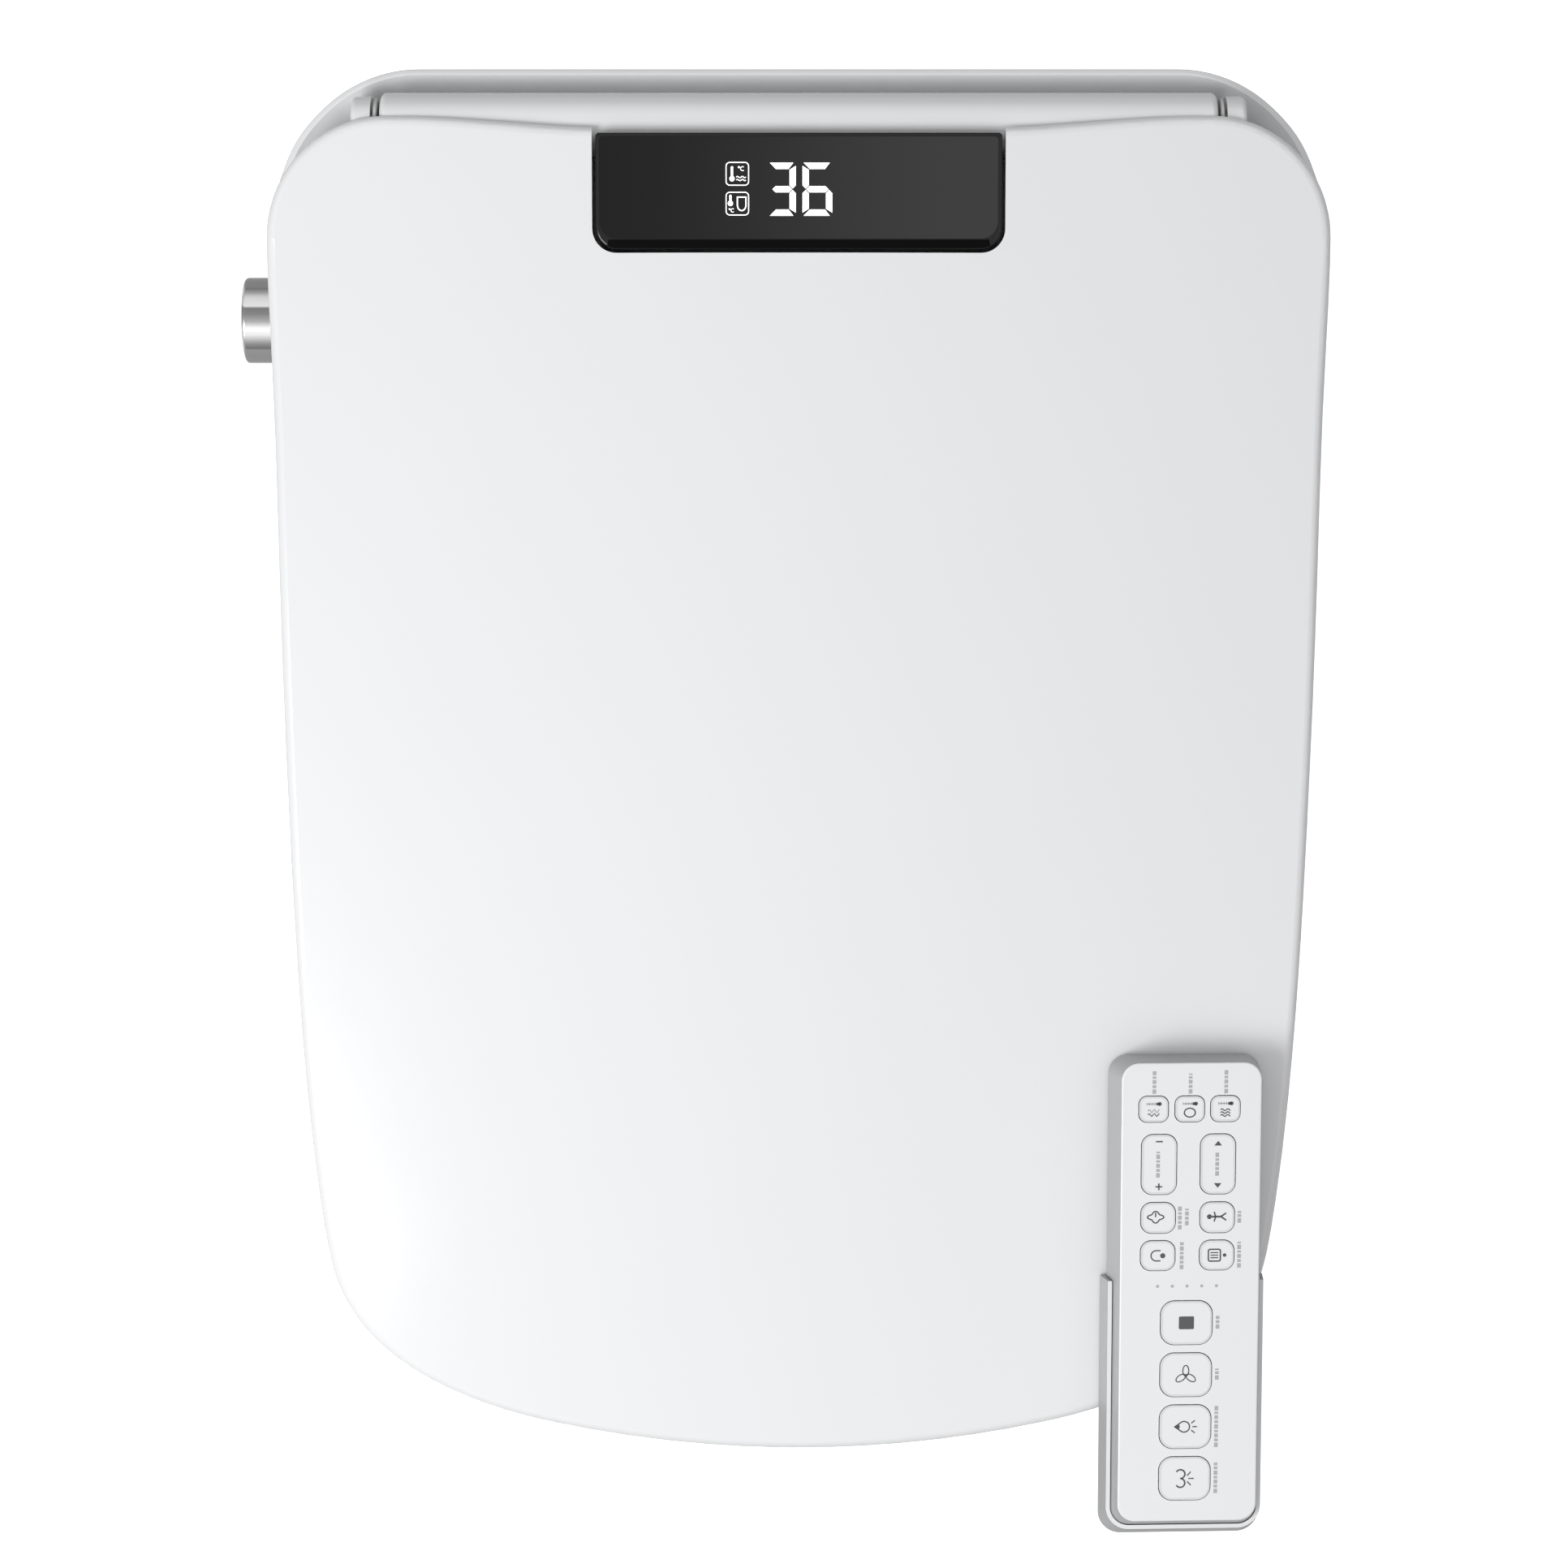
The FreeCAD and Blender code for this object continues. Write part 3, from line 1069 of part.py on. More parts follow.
def flared_set(grow, low, high):
    """The handset's outside made larger by grow: its back is wider and longer than its face."""
    def section(z):
        share = (set_face - z) / (set_face - set_low)
        left = -set_w / 2 - size("set_flare_left") * share - grow
        right = set_w / 2 + size("set_flare_right") * share + grow
        bottom = -set_l / 2 - size("set_flare_low") * share - grow
        return rectangle_wire(left, right, bottom, set_l / 2 + grow, size("set_corner") + grow, z)

    return Part.makeLoft([section(low), section(high)], True, True)


set_solid = flared_set(0, set_low, set_face)
set_solid = set_solid.makeFillet(0.9, [e for e in set_solid.Edges if e.BoundBox.ZMin > set_face - 0.01])
set_cavity = flared_set(-1.6, set_low + 1.6, set_face - 1.6)
set_shell = set_solid.cut(set_cavity)
set_split = block(-80, 80, -140, 140, -5, set_seam)
set_front = set_shell.cut(set_split)
set_back = set_shell.common(set_split)

# name, x, y, width, length, corner radius of each key
KEYS = [
    ("water_warmth", -14.6, 71.6, 11.0, 9.8, 3.0),
    ("ring_warmth", -0.8, 71.6, 11.0, 9.8, 3.0),
    ("air_warmth", 12.8, 71.6, 11.0, 9.8, 3.0),
    ("pressure", -12.3, 50.2, 13.2, 23.0, 4.2),
    ("position", 10.2, 50.2, 13.2, 23.0, 4.2),
    ("power", -12.4, 29.5, 13.0, 11.7, 4.0),
    ("kids", 10.2, 29.5, 13.0, 11.7, 4.0),
    ("lamp", -12.4, 14.8, 13.0, 11.4, 4.0),
    ("auto", 10.2, 14.8, 13.0, 11.4, 4.0),
    ("stop", -1.1, -11.5, 19.6, 16.9, 5.2),
    ("dry", -1.1, -31.9, 19.6, 16.9, 5.2),
    ("front_wash", -1.1, -52.3, 19.6, 16.9, 5.2),
    ("rear_wash", -1.1, -72.7, 19.6, 16.9, 5.2),
]
key_gap = size("key_gap")
for name, x, y, width, length, radius in KEYS:
    at = Vector(x, y, set_face - 2.6)
    opening = rounded_plate(width + 2 * key_gap, length + 2 * key_gap, 4, radius + key_gap, at)
    set_front = set_front.cut(opening)

LIGHTS = [(-12.3 + 5.65 * i, 2.8) for i in range(5)]
lights = []
for x, y in LIGHTS:
    set_front = set_front.cut(Part.makeCylinder(0.6, 4, Vector(x, y, set_face - 3)))
    lights.append(Part.makeCylinder(0.6, 1.7, Vector(x, y, set_face - 1.65)))
feature("set_front", set_front, set_frame)
feature("set_back", set_back, set_frame)
feature("set_lights", Part.makeCompound(lights), set_frame)

for name, x, y, width, length, radius in KEYS:
    key_low = set_frame.multVec(Vector(x, y, set_face - 2.5))
    key = new_body(f"key_{name}")
    key.Placement = FreeCAD.Placement(key_low, set_turn)
    key_shape = sketch(key, f"{name}_shape")
    draw_rectangle(key_shape, width, length)
    key_pad = pad(key, key_shape, "2.5 + Dims.key_proud", f"{name}_pad")
    soften(key, key_pad, radius, upright, f"{name}_corners")

card = new_body("set_board")
card.Placement = FreeCAD.Placement(set_frame.multVec(Vector(0, 0, set_face - 4.75)), set_turn)
card_shape = sketch(card, "set_card")
draw_rectangle(card_shape, "Dims.set_w - 8", "Dims.set_l - 10")
pad(card, card_shape, 1.4, "SetCard")

cells = []
for x in (-6.6, 6.6):
    can = Part.makeCylinder(5.1, 43.5, Vector(x, 16, set_low + 1.7 + 5.1), Vector(0, 1, 0))
    tip = Part.makeCylinder(1.9, 1.0, Vector(x, 59.5, set_low + 1.7 + 5.1), Vector(0, 1, 0))
    cells.append(can.fuse(tip))
feature("set_cells", Part.makeCompound(cells), set_frame)

door = rounded_plate(36, 58, 1.1, 3, Vector(0, 38, 0.5))
for i in range(4):
    door = door.cut(block(-7, 7, 15 + 2 * i, 16 + 2 * i, 0, 0.8))
feature("battery_door", door, set_frame)

holder_top, holder_end = 10.5, 3.0
holder_wall = size("holder_wall")
holder = flared_set(holder_wall + 0.4, 0.3, holder_top)
holder = holder.cut(flared_set(0.4, set_low - 0.3, holder_top + 1))
holder = holder.common(block(-80, 80, -140, holder_end, -5, 40))
feature("set_holder", holder, set_frame)

# ---------------------------------------------------------------- checks and export
doc.recompute()
for made in doc.Objects:
    if any(word in made.State for word in ("Invalid", "Error", "Touched")):
        raise RuntimeError(f"{made.Name}: {made.State}")
os.makedirs("parts", exist_ok=True)
for label, made in parts.items():
    shape = made.Shape
    if shape.isNull() or not shape.isValid() or not shape.Solids:
        raise RuntimeError(f"{label}: the shape is not a valid solid")
    shape.exportStep(f"parts/{label}.step")
print(f"{len(parts)} parts written")
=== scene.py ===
import json
import math

import bmesh
import bpy
from bpy.props import BoolProperty, FloatProperty, FloatVectorProperty, PointerProperty
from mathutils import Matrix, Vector

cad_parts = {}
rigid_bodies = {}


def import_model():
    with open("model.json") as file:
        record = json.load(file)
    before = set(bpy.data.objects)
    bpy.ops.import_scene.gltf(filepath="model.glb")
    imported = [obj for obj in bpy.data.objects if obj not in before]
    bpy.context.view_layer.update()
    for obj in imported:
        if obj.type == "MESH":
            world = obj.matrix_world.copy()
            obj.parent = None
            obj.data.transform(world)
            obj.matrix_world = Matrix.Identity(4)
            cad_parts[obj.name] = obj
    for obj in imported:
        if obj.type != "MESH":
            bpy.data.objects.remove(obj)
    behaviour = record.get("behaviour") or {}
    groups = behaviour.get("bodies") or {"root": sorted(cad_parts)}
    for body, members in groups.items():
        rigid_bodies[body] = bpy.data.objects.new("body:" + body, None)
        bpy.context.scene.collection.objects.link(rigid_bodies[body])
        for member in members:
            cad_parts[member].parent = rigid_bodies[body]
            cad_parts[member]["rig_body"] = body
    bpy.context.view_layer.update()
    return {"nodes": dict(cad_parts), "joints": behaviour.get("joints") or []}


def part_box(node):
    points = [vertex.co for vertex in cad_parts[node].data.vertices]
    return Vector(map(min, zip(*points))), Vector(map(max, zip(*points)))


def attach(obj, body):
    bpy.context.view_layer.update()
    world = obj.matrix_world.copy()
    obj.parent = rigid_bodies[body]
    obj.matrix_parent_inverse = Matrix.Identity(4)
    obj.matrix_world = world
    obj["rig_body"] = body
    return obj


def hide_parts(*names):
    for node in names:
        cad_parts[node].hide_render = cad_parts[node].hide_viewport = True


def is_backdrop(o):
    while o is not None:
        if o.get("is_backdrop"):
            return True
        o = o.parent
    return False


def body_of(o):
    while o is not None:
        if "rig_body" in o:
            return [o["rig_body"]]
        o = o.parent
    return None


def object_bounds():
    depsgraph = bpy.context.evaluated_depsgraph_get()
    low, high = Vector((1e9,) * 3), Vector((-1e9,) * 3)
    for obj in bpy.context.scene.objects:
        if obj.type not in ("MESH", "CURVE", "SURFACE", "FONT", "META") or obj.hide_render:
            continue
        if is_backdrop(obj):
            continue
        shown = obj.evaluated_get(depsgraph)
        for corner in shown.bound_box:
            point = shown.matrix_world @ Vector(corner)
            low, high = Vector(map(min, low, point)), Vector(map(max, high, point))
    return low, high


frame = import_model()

bl_info = {
    "name": "Bidet Seat",
    "version": (1, 0, 0),
    "blender": (4, 5, 0),
    "location": "View3D > Sidebar > Bidet Seat",
    "description": "Finishes and small fittings of an electric bidet seat, laid over its fixed frame",
    "category": "Object",
}

NODES = frame["nodes"]
JOINTS = {joint["name"]: joint for joint in frame["joints"]}
MM = 0.001


# ---------------------------------------------------------------- settings
def colour(name, value, text):
    settings = {"subtype": "COLOR", "size": 3, "min": 0, "max": 1}
    return FloatVectorProperty(name=name, description=text, default=value, **settings)


def length(name, value, text):
    return FloatProperty(name=name, description=text, default=value, min=0, subtype="DISTANCE")


class BidetColours(bpy.types.PropertyGroup):
    """Colours that a user would change."""

    shell: colour("Shell", (0.86, 0.865, 0.87), "Glossy moulding of the lid and the housing")
    seat: colour("Seat ring", (0.84, 0.845, 0.85), "Satin moulding of the seat ring")
    handset: colour("Handset", (0.88, 0.885, 0.89), "Moulding of the handset and its keys")
    # Painted shade: a grey line round each key stands in for the shade in the gap round it.
    gap_shade: colour("Key gap shade", (0.76, 0.765, 0.77), "Painted shade of the gap round each key")
    sign: colour("Signs", (0.07, 0.07, 0.072), "Printed signs on the keys")
    mark: colour("Marks", (0.46, 0.46, 0.47), "Grey dashes and lamps of the handset")
    grey: colour("Grey moulding", (0.5, 0.51, 0.52), "Bracket, button, dryer duct and other plain parts")
    board: colour("Circuit board", (0.01, 0.09, 0.035), "Solder mask of the boards")
    lit: colour("Lit segments", (1.0, 1.0, 1.0), "Light of the display")
    lamp: colour("Night light", (0.45, 0.68, 1.0), "Lens of the night light")


class BidetSizes(bpy.types.PropertyGroup):
    """Sizes that a user would change."""

    # Width of the painted shade line round each key.
    gap_shade_width: length("Gap shade width", 0.75 * MM, "Width of the painted shade line round each key")
    print_height: length("Print height", 0.06 * MM, "Thickness of printed signs")
    thread_pitch: length("Thread pitch", 1.814 * MM, "Pitch of the water inlet's thread")
    show_floor: BoolProperty(name="Floor", description="Lay a pale floor under the seat", default=True)


def colours():
    return bpy.context.scene.bidet_colours


def sizes():
    return bpy.context.scene.bidet_sizes


# ---------------------------------------------------------------- shader groups
def new_group(name, inputs, outputs):
    """An empty shader node group with these sockets: (name, kind, default)."""
    tree = bpy.data.node_groups.new(name, "ShaderNodeTree")
    for label, kind, default in inputs:
        socket = tree.interface.new_socket(name=label, in_out="INPUT", socket_type=f"NodeSocket{kind}")
        socket.default_value = default
    for label, kind in outputs:
        tree.interface.new_socket(name=label, in_out="OUTPUT", socket_type=f"NodeSocket{kind}")
    return tree


class Wiring:
    """Short names for adding and joining nodes in one tree."""

    def __init__(self, tree):
        self.tree = tree

    def add(self, kind, **settings):
        node = self.tree.nodes.new(kind)
        for key, value in settings.items():
            setattr(node, key, value)
        return node

    def join(self, source, target):
        self.tree.links.new(source, target)

    def maths(self, operation, first, second=0.0, third=None):
        node = self.add("ShaderNodeMath", operation=operation)
        for slot, value in enumerate((first, second, third)):
            if value is None:
                continue
            if hasattr(value, "links"):
                self.join(value, node.inputs[slot])
            else:
                node.inputs[slot].default_value = value
        return node.outputs[0]

    def noise(self, vector, scale, detail=3.0, roughness=0.5):
        node = self.add("ShaderNodeTexNoise")
        self.join(vector, node.inputs["Vector"])
        if hasattr(scale, "links"):
            self.join(scale, node.inputs["Scale"])
        else:
            node.inputs["Scale"].default_value = scale
        node.inputs["Detail"].default_value = detail
        node.inputs["Roughness"].default_value = roughness
        return node.outputs["Fac"]

    def mix(self, share, first, second):
        node = self.add("ShaderNodeMix", data_type="RGBA")
        for slot, value in ((0, share), (6, first), (7, second)):
            if hasattr(value, "links"):
                self.join(value, node.inputs[slot])
            elif slot == 0:
                node.inputs[slot].default_value = value
            else:
                node.inputs[slot].default_value = (*value, 1.0)
        return node.outputs[2]

    def split(self, vector):
        node = self.add("ShaderNodeSeparateXYZ")
        self.join(vector, node.inputs[0])
        return node.outputs

    def ramp(self, share, stops, tint=(1.0, 1.0, 1.0)):
        """A ramp fed by share; each stop is (place, grey), and tint colours every grey."""
        node = self.add("ShaderNodeValToRGB")
        self.join(share, node.inputs["Fac"])
        while len(node.color_ramp.elements) < len(stops):
            node.color_ramp.elements.new(0.5)
        for element, (place, grey) in zip(node.color_ramp.elements, stops):
            element.position = place
            element.color = (*(grey * part for part in tint), 1.0)
        return node.outputs["Color"]


def moulded_surface():
    """Plastic or rubber: flow shading, a fine mould texture, specks of dust and painted shade on surfaces
    that lean away from Facing.
    """
    tree = new_group(
        "Moulded surface",
        [
            ("Colour", "Color", (0.8, 0.8, 0.8, 1)),
            ("Shading", "Float", 0.03),
            ("Roughness", "Float", 0.2),
            ("Unevenness", "Float", 0.05),
            ("Grain size", "Float", 900.0),
            ("Grain depth", "Float", 0.2),
            ("Dust", "Float", 0.1),
            ("Wall colour", "Color", (0.4, 0.4, 0.4, 1)),
            ("Wall share", "Float", 0.0),
            ("Facing", "Vector", (0.0, 0.0, 1.0)),
        ],
        [("Colour", "Color"), ("Roughness", "Float"), ("Height", "Float")],
    )
    w = Wiring(tree)
    given = w.add("NodeGroupInput").outputs
    out = w.add("NodeGroupOutput").inputs
    coordinates = w.add("ShaderNodeTexCoord").outputs
    place = coordinates["Object"]
    # Painted shade: surfaces that lean away from Facing are mixed towards the painted shade colour, which
    # stands in for the shade on steep walls.
    facing = w.add("ShaderNodeVectorMath", operation="DOT_PRODUCT")
    w.join(coordinates["Normal"], facing.inputs[0])
    w.join(given["Facing"], facing.inputs[1])
    steep = w.add("ShaderNodeMapRange", interpolation_type="SMOOTHSTEP")
    w.join(facing.outputs["Value"], steep.inputs["Value"])
    steep.inputs["From Min"].default_value = 0.85
    steep.inputs["From Max"].default_value = 0.45
    painted_wall_shade = w.maths("MULTIPLY", steep.outputs["Result"], given["Wall share"])
    flow = w.noise(place, 9.0, 2.0)
    cloud = w.noise(place, 60.0, 4.0, 0.6)
    grain = w.noise(place, given["Grain size"], 2.0)
    speck = w.noise(place, 2400.0, 1.0)
    dust_mask = w.maths("GREATER_THAN", speck, 0.745)
    dust = w.maths("MULTIPLY", w.maths("MULTIPLY", dust_mask, cloud), given["Dust"])
    spread = w.maths("MULTIPLY", w.maths("SUBTRACT", flow, 0.5), given["Shading"])
    share = w.maths("ADD", w.maths("MULTIPLY", spread, 2.0), given["Shading"])
    darker = w.mix(share, given["Colour"], (0.55, 0.56, 0.58))
    shaded = w.mix(painted_wall_shade, darker, given["Wall colour"])
    w.join(w.mix(dust, shaded, (0.42, 0.41, 0.4)), out["Colour"])
    rough = w.maths("MULTIPLY", w.maths("SUBTRACT", cloud, 0.5), given["Unevenness"])
    rough = w.maths("ADD", w.maths("ADD", rough, given["Roughness"]), w.maths("MULTIPLY", dust, 0.5))
    w.join(w.maths("MAXIMUM", rough, 0.02), out["Roughness"])
    w.join(w.maths("MULTIPLY", grain, given["Grain depth"]), out["Height"])
    return tree


def painted_reflection_bands(w):
    """Painted reflection: pale and dark bands that run along X, set by how far the surface leans to the front
    or rear, with the flat ends an even grey.
    """
    lean = w.split(w.add("ShaderNodeTexCoord").outputs["Normal"])
    stops = [
        (0.0, 0.36), (0.14, 0.37), (0.23, 0.72), (0.28, 1.0), (0.37, 1.0), (0.43, 0.56),
        (0.5, 0.34), (0.585, 0.24), (0.61, 0.95), (0.74, 1.0), (0.8, 0.7), (0.84, 0.37), (1.0, 0.37),
    ]
    bands = w.ramp(w.maths("MULTIPLY_ADD", lean["Y"], 0.5, 0.5), stops)
    # The flat ends get an even painted grey in place of reflections.
    end_on = w.maths("GREATER_THAN", w.maths("ABSOLUTE", lean["X"]), 0.7)
    return w.mix(end_on, bands, (0.7, 0.71, 0.72))


def metal_surface():
    """Bright metal: drawn lines along one axis, smudges, a slightly uneven polish and, by their share,
    painted reflection bands.
    """
    tree = new_group(
        "Metal surface",
        [
            ("Colour", "Color", (0.7, 0.7, 0.7, 1)),
            ("Roughness", "Float", 0.15),
            ("Line depth", "Float", 0.3),
            ("Line stretch", "Vector", (900.0, 20.0, 900.0)),
            ("Smudge", "Float", 0.1),
            ("Bands", "Float", 0.0),
        ],
        [("Colour", "Color"), ("Roughness", "Float"), ("Height", "Float")],
    )
    w = Wiring(tree)
    given = w.add("NodeGroupInput").outputs
    out = w.add("NodeGroupOutput").inputs
    place = w.add("ShaderNodeTexCoord").outputs["Object"]
    stretch = w.add("ShaderNodeVectorMath", operation="MULTIPLY")
    w.join(place, stretch.inputs[0])
    w.join(given["Line stretch"], stretch.inputs[1])
    lines = w.noise(stretch.outputs[0], 1.0, 3.0, 0.7)
    smudge = w.maths("MULTIPLY", w.noise(place, 120.0, 4.0, 0.65), given["Smudge"])
    # Painted reflection: the colour is mixed towards the painted reflection bands by their share.
    banded = w.mix(given["Bands"], given["Colour"], painted_reflection_bands(w))
    w.join(w.mix(smudge, banded, (0.3, 0.3, 0.3)), out["Colour"])
    rough = w.maths("ADD", given["Roughness"], w.maths("MULTIPLY", w.maths("SUBTRACT", lines, 0.4), 0.12))
    rough = w.maths("ADD", rough, w.maths("MULTIPLY", smudge, 0.6))
    w.join(w.maths("MAXIMUM", rough, 0.02), out["Roughness"])
    w.join(w.maths("MULTIPLY", lines, given["Line depth"]), out["Height"])
    return tree


def circuit_surface():
    """A coated board: copper tracks and pads showing through the solder mask."""
    tree = new_group(
        "Circuit surface",
        [
            ("Mask", "Color", (0.01, 0.1, 0.04, 1)),
            ("Track size", "Float", 420.0),
            ("Copper share", "Float", 0.5),
        ],
        [("Colour", "Color"), ("Roughness", "Float"), ("Height", "Float")],
    )
    w = Wiring(tree)
    given = w.add("NodeGroupInput").outputs
    out = w.add("NodeGroupOutput").inputs
    place = w.add("ShaderNodeTexCoord").outputs["Object"]
    cells = w.add("ShaderNodeTexVoronoi", feature="DISTANCE_TO_EDGE", distance="EUCLIDEAN")
    w.join(place, cells.inputs["Vector"])
    w.join(given["Track size"], cells.inputs["Scale"])
    track = w.maths("LESS_THAN", cells.outputs["Distance"], 0.07)
    share = w.maths("MULTIPLY", track, given["Copper share"])
    w.join(w.mix(share, given["Mask"], (0.22, 0.33, 0.1)), out["Colour"])
    w.join(w.maths("SUBTRACT", 0.42, w.maths("MULTIPLY", track, 0.15)), out["Roughness"])
    w.join(track, out["Height"])
    return tree


GROUPS = {}


def group(name):
    """One of the shared groups, built the first time it is asked for."""
    makers = {"moulded": moulded_surface, "metal": metal_surface, "circuit": circuit_surface}
    if name not in GROUPS:
        GROUPS[name] = makers[name]()
    return GROUPS[name]


def material(name, surface, values, bump=0.0, **shader):
    """A Principled material fed by one shared group; shader holds plain values for its own sockets."""
    made = bpy.data.materials.new(name)
    made.use_nodes = True
    tree = made.node_tree
    principled = tree.nodes["Principled BSDF"]
    feed = tree.nodes.new("ShaderNodeGroup")
    feed.node_tree = group(surface)
    for label, value in values.items():
        is_colour = feed.inputs[label].type == "RGBA"
        feed.inputs[label].default_value = (*value, 1.0) if is_colour else value
    tree.links.new(feed.outputs["Colour"], principled.inputs["Base Color"])
    tree.links.new(feed.outputs["Roughness"], principled.inputs["Roughness"])
    if bump:
        relief = tree.nodes.new("ShaderNodeBump")
        relief.inputs["Strength"].default_value = bump
        relief.inputs["Distance"].default_value = 0.1 * MM
        tree.links.new(feed.outputs["Height"], relief.inputs["Height"])
        tree.links.new(relief.outputs["Normal"], principled.inputs["Normal"])
    for label, value in shader.items():
        principled.inputs[label.replace("_", " ").title().replace("Ior", "IOR")].default_value = value
    return made


# ---------------------------------------------------------------- finishes
GLOSS = {"Roughness": 0.16, "Unevenness": 0.05, "Grain size": 1400.0, "Grain depth": 0.25, "Dust": 0.05}
MATTE = {"Roughness": 0.46, "Unevenness": 0.12, "Grain size": 2200.0, "Grain depth": 0.8, "Dust": 0.12}

# plain values of the shader itself, and the strength of the light that a finish gives out
SHADER_VALUES = {"shell gloss": {"coat_weight": 0.35}, "band black": {"specular_ior_level": 0.06}}
GLOW = {"lit segments": 0.9, "night lens": 0.25}

# tint, roughness, stretch of the drawn lines, smudge, depth of the lines, share of the painted reflection
# bands and metal share
METALS = {
    # The chrome plate carries the painted reflection bands in full.
    "chrome plate": ((0.9, 0.91, 0.92), 0.1, (60.0, 900.0, 900.0), 0.03, 0.02, 1.0, 0.55),
    "bright steel": ((0.56, 0.56, 0.57), 0.26, (30.0, 1500.0, 1500.0), 0.15, 0.3, 0.0, 1.0),
    "turned brass": ((0.72, 0.49, 0.2), 0.22, (900.0, 900.0, 2500.0), 0.12, 0.3, 0.0, 1.0),
    "copper wire": ((0.68, 0.27, 0.12), 0.3, (600.0, 600.0, 3000.0), 0.1, 0.3, 0.0, 1.0),
    "heater foil": ((0.75, 0.75, 0.74), 0.32, (300.0, 300.0, 300.0), 0.1, 0.5, 0.0, 1.0),
}


def mouldings():
    """The base texture, own values and relief of every moulded or printed finish."""
    c = colours()
    # Painted shade on the handset's steep side walls, which lean away from its face.
    painted_wall_shade = {"Wall colour": (0.42, 0.425, 0.43), "Wall share": 1.0, "Facing": handset_axes()[2]}
    handset = {"Colour": c.handset, "Shading": 0.015, "Roughness": 0.33, **painted_wall_shade}
    return {
        "shell gloss": (GLOSS, {"Colour": c.shell, "Shading": 0.02}, 0.04),
        "seat satin": (GLOSS, {"Colour": c.seat, "Shading": 0.02, "Roughness": 0.24}, 0.06),
        "handset white": (GLOSS, handset, 0.1),
        "holder white": (GLOSS, handset, 0.1),
        "key white": (GLOSS, {"Colour": c.handset, "Shading": 0.01, "Roughness": 0.4}, 0.12),
        "display frame": (GLOSS, {"Colour": (0.006, 0.006, 0.007), "Shading": 0.0, "Dust": 0.02}, 0.02),
        "night lens": (GLOSS, {"Colour": c.lamp, "Shading": 0.02}, 0.0),
        "base white": (MATTE, {"Colour": c.seat, "Shading": 0.03}, 0.3),
        "band black": (MATTE, {"Colour": (0.002, 0.002, 0.002), "Shading": 0.0, "Dust": 0.02}, 0.05),
        "grey moulding": (MATTE, {"Colour": c.grey, "Shading": 0.05}, 0.35),
        "dark moulding": (MATTE, {"Colour": (0.09, 0.09, 0.095), "Shading": 0.02}, 0.35),
        "soft grey": (MATTE, {"Colour": (0.11, 0.115, 0.12), "Roughness": 0.7}, 0.6),
        "soft white": (MATTE, {"Colour": (0.62, 0.62, 0.61), "Roughness": 0.62}, 0.5),
        # Painted shade of the gap round each key.
        "key gap shade": (MATTE, {"Colour": c.gap_shade, "Shading": 0.02}, 0.1),
        "sign ink": (MATTE, {"Colour": c.sign, "Shading": 0.05}, 0.1),
        "mark ink": (MATTE, {"Colour": c.mark, "Shading": 0.08}, 0.1),
        "lit segments": (MATTE, {"Colour": c.lit, "Shading": 0.0, "Dust": 0.0}, 0.0),
    }


def metal(name):
    tint, rough, stretch, smudge, depth, bands, metallic = METALS[name]
    values = {"Colour": tint, "Roughness": rough, "Line stretch": stretch, "Smudge": smudge}
    return material(name, "metal", {**values, "Line depth": depth, "Bands": bands}, 0.08, metallic=metallic)


def finish(name):
    """The material of that name, made from the user's colours the first time it is asked for."""
    if name in bpy.data.materials:
        return bpy.data.materials[name]
    if name in METALS:
        return metal(name)
    if name == "display window":
        return smoked_window(name)
    if name == "circuit board":
        return material(name, "circuit", {"Mask": colours().board}, 0.3)
    base, own, bump = mouldings()[name]
    made = material(name, "moulded", {**base, **own}, bump, **SHADER_VALUES.get(name, {}))
    if name in GLOW:
        shader = made.node_tree.nodes["Principled BSDF"]
        shader.inputs["Emission Color"].default_value = (*own["Colour"], 1.0)
        shader.inputs["Emission Strength"].default_value = GLOW[name]
    return made


def smoked_window(name):
    """The display's window: near black, with a painted reflection that makes it a little paler towards the
    user's right.
    """
    values = {"Roughness": 0.13, "Unevenness": 0.02, "Dust": 0.01, "Grain depth": 0.1, "Shading": 0.0}
    made = material(name, "moulded", {**values, "Grain size": 900.0}, 0.02, specular_ior_level=0.3)
    w = Wiring(made.node_tree)
    low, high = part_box("display_glass")
    across = w.add("ShaderNodeMapRange", interpolation_type="SMOOTHSTEP")
    w.join(w.split(w.add("ShaderNodeTexCoord").outputs["Object"])["X"], across.inputs["Value"])
    across.inputs["From Min"].default_value = low.x
    across.inputs["From Max"].default_value = high.x
    # Painted reflection: the colour grows from near black to a paler grey across the window, standing in for
    # the reflection on the glass.
    tint = w.mix(across.outputs["Result"], (0.007, 0.007, 0.0075), (0.043, 0.043, 0.044))
    feed = next(node for node in made.node_tree.nodes if node.type == "GROUP")
    w.join(tint, feed.inputs["Colour"])
    return made


def paint(node, name):
    """Gives a frame node one finish."""
    obj = NODES[node]
    if not obj.material_slots:
        obj.data.materials.append(None)
    for slot in obj.material_slots:
        slot.material = finish(name)


# ---------------------------------------------------------------- mesh helpers
def add_piece(name, mesh, body, name_of_finish, smooth=True):
    """Links a mesh as a piece that rides on a body."""
    obj = bpy.data.objects.new(name, mesh)
    bpy.context.scene.collection.objects.link(obj)
    mesh.materials.append(finish(name_of_finish))
    if smooth:
        for face in mesh.polygons:
            face.use_smooth = True
        mesh.set_sharp_from_angle(angle=math.radians(35))
    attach(obj, body)
    return obj


def to_mesh(bm, name):
    bmesh.ops.recalc_face_normals(bm, faces=bm.faces)
    mesh = bpy.data.meshes.new(name)
    bm.to_mesh(mesh)
    bm.free()
    return mesh


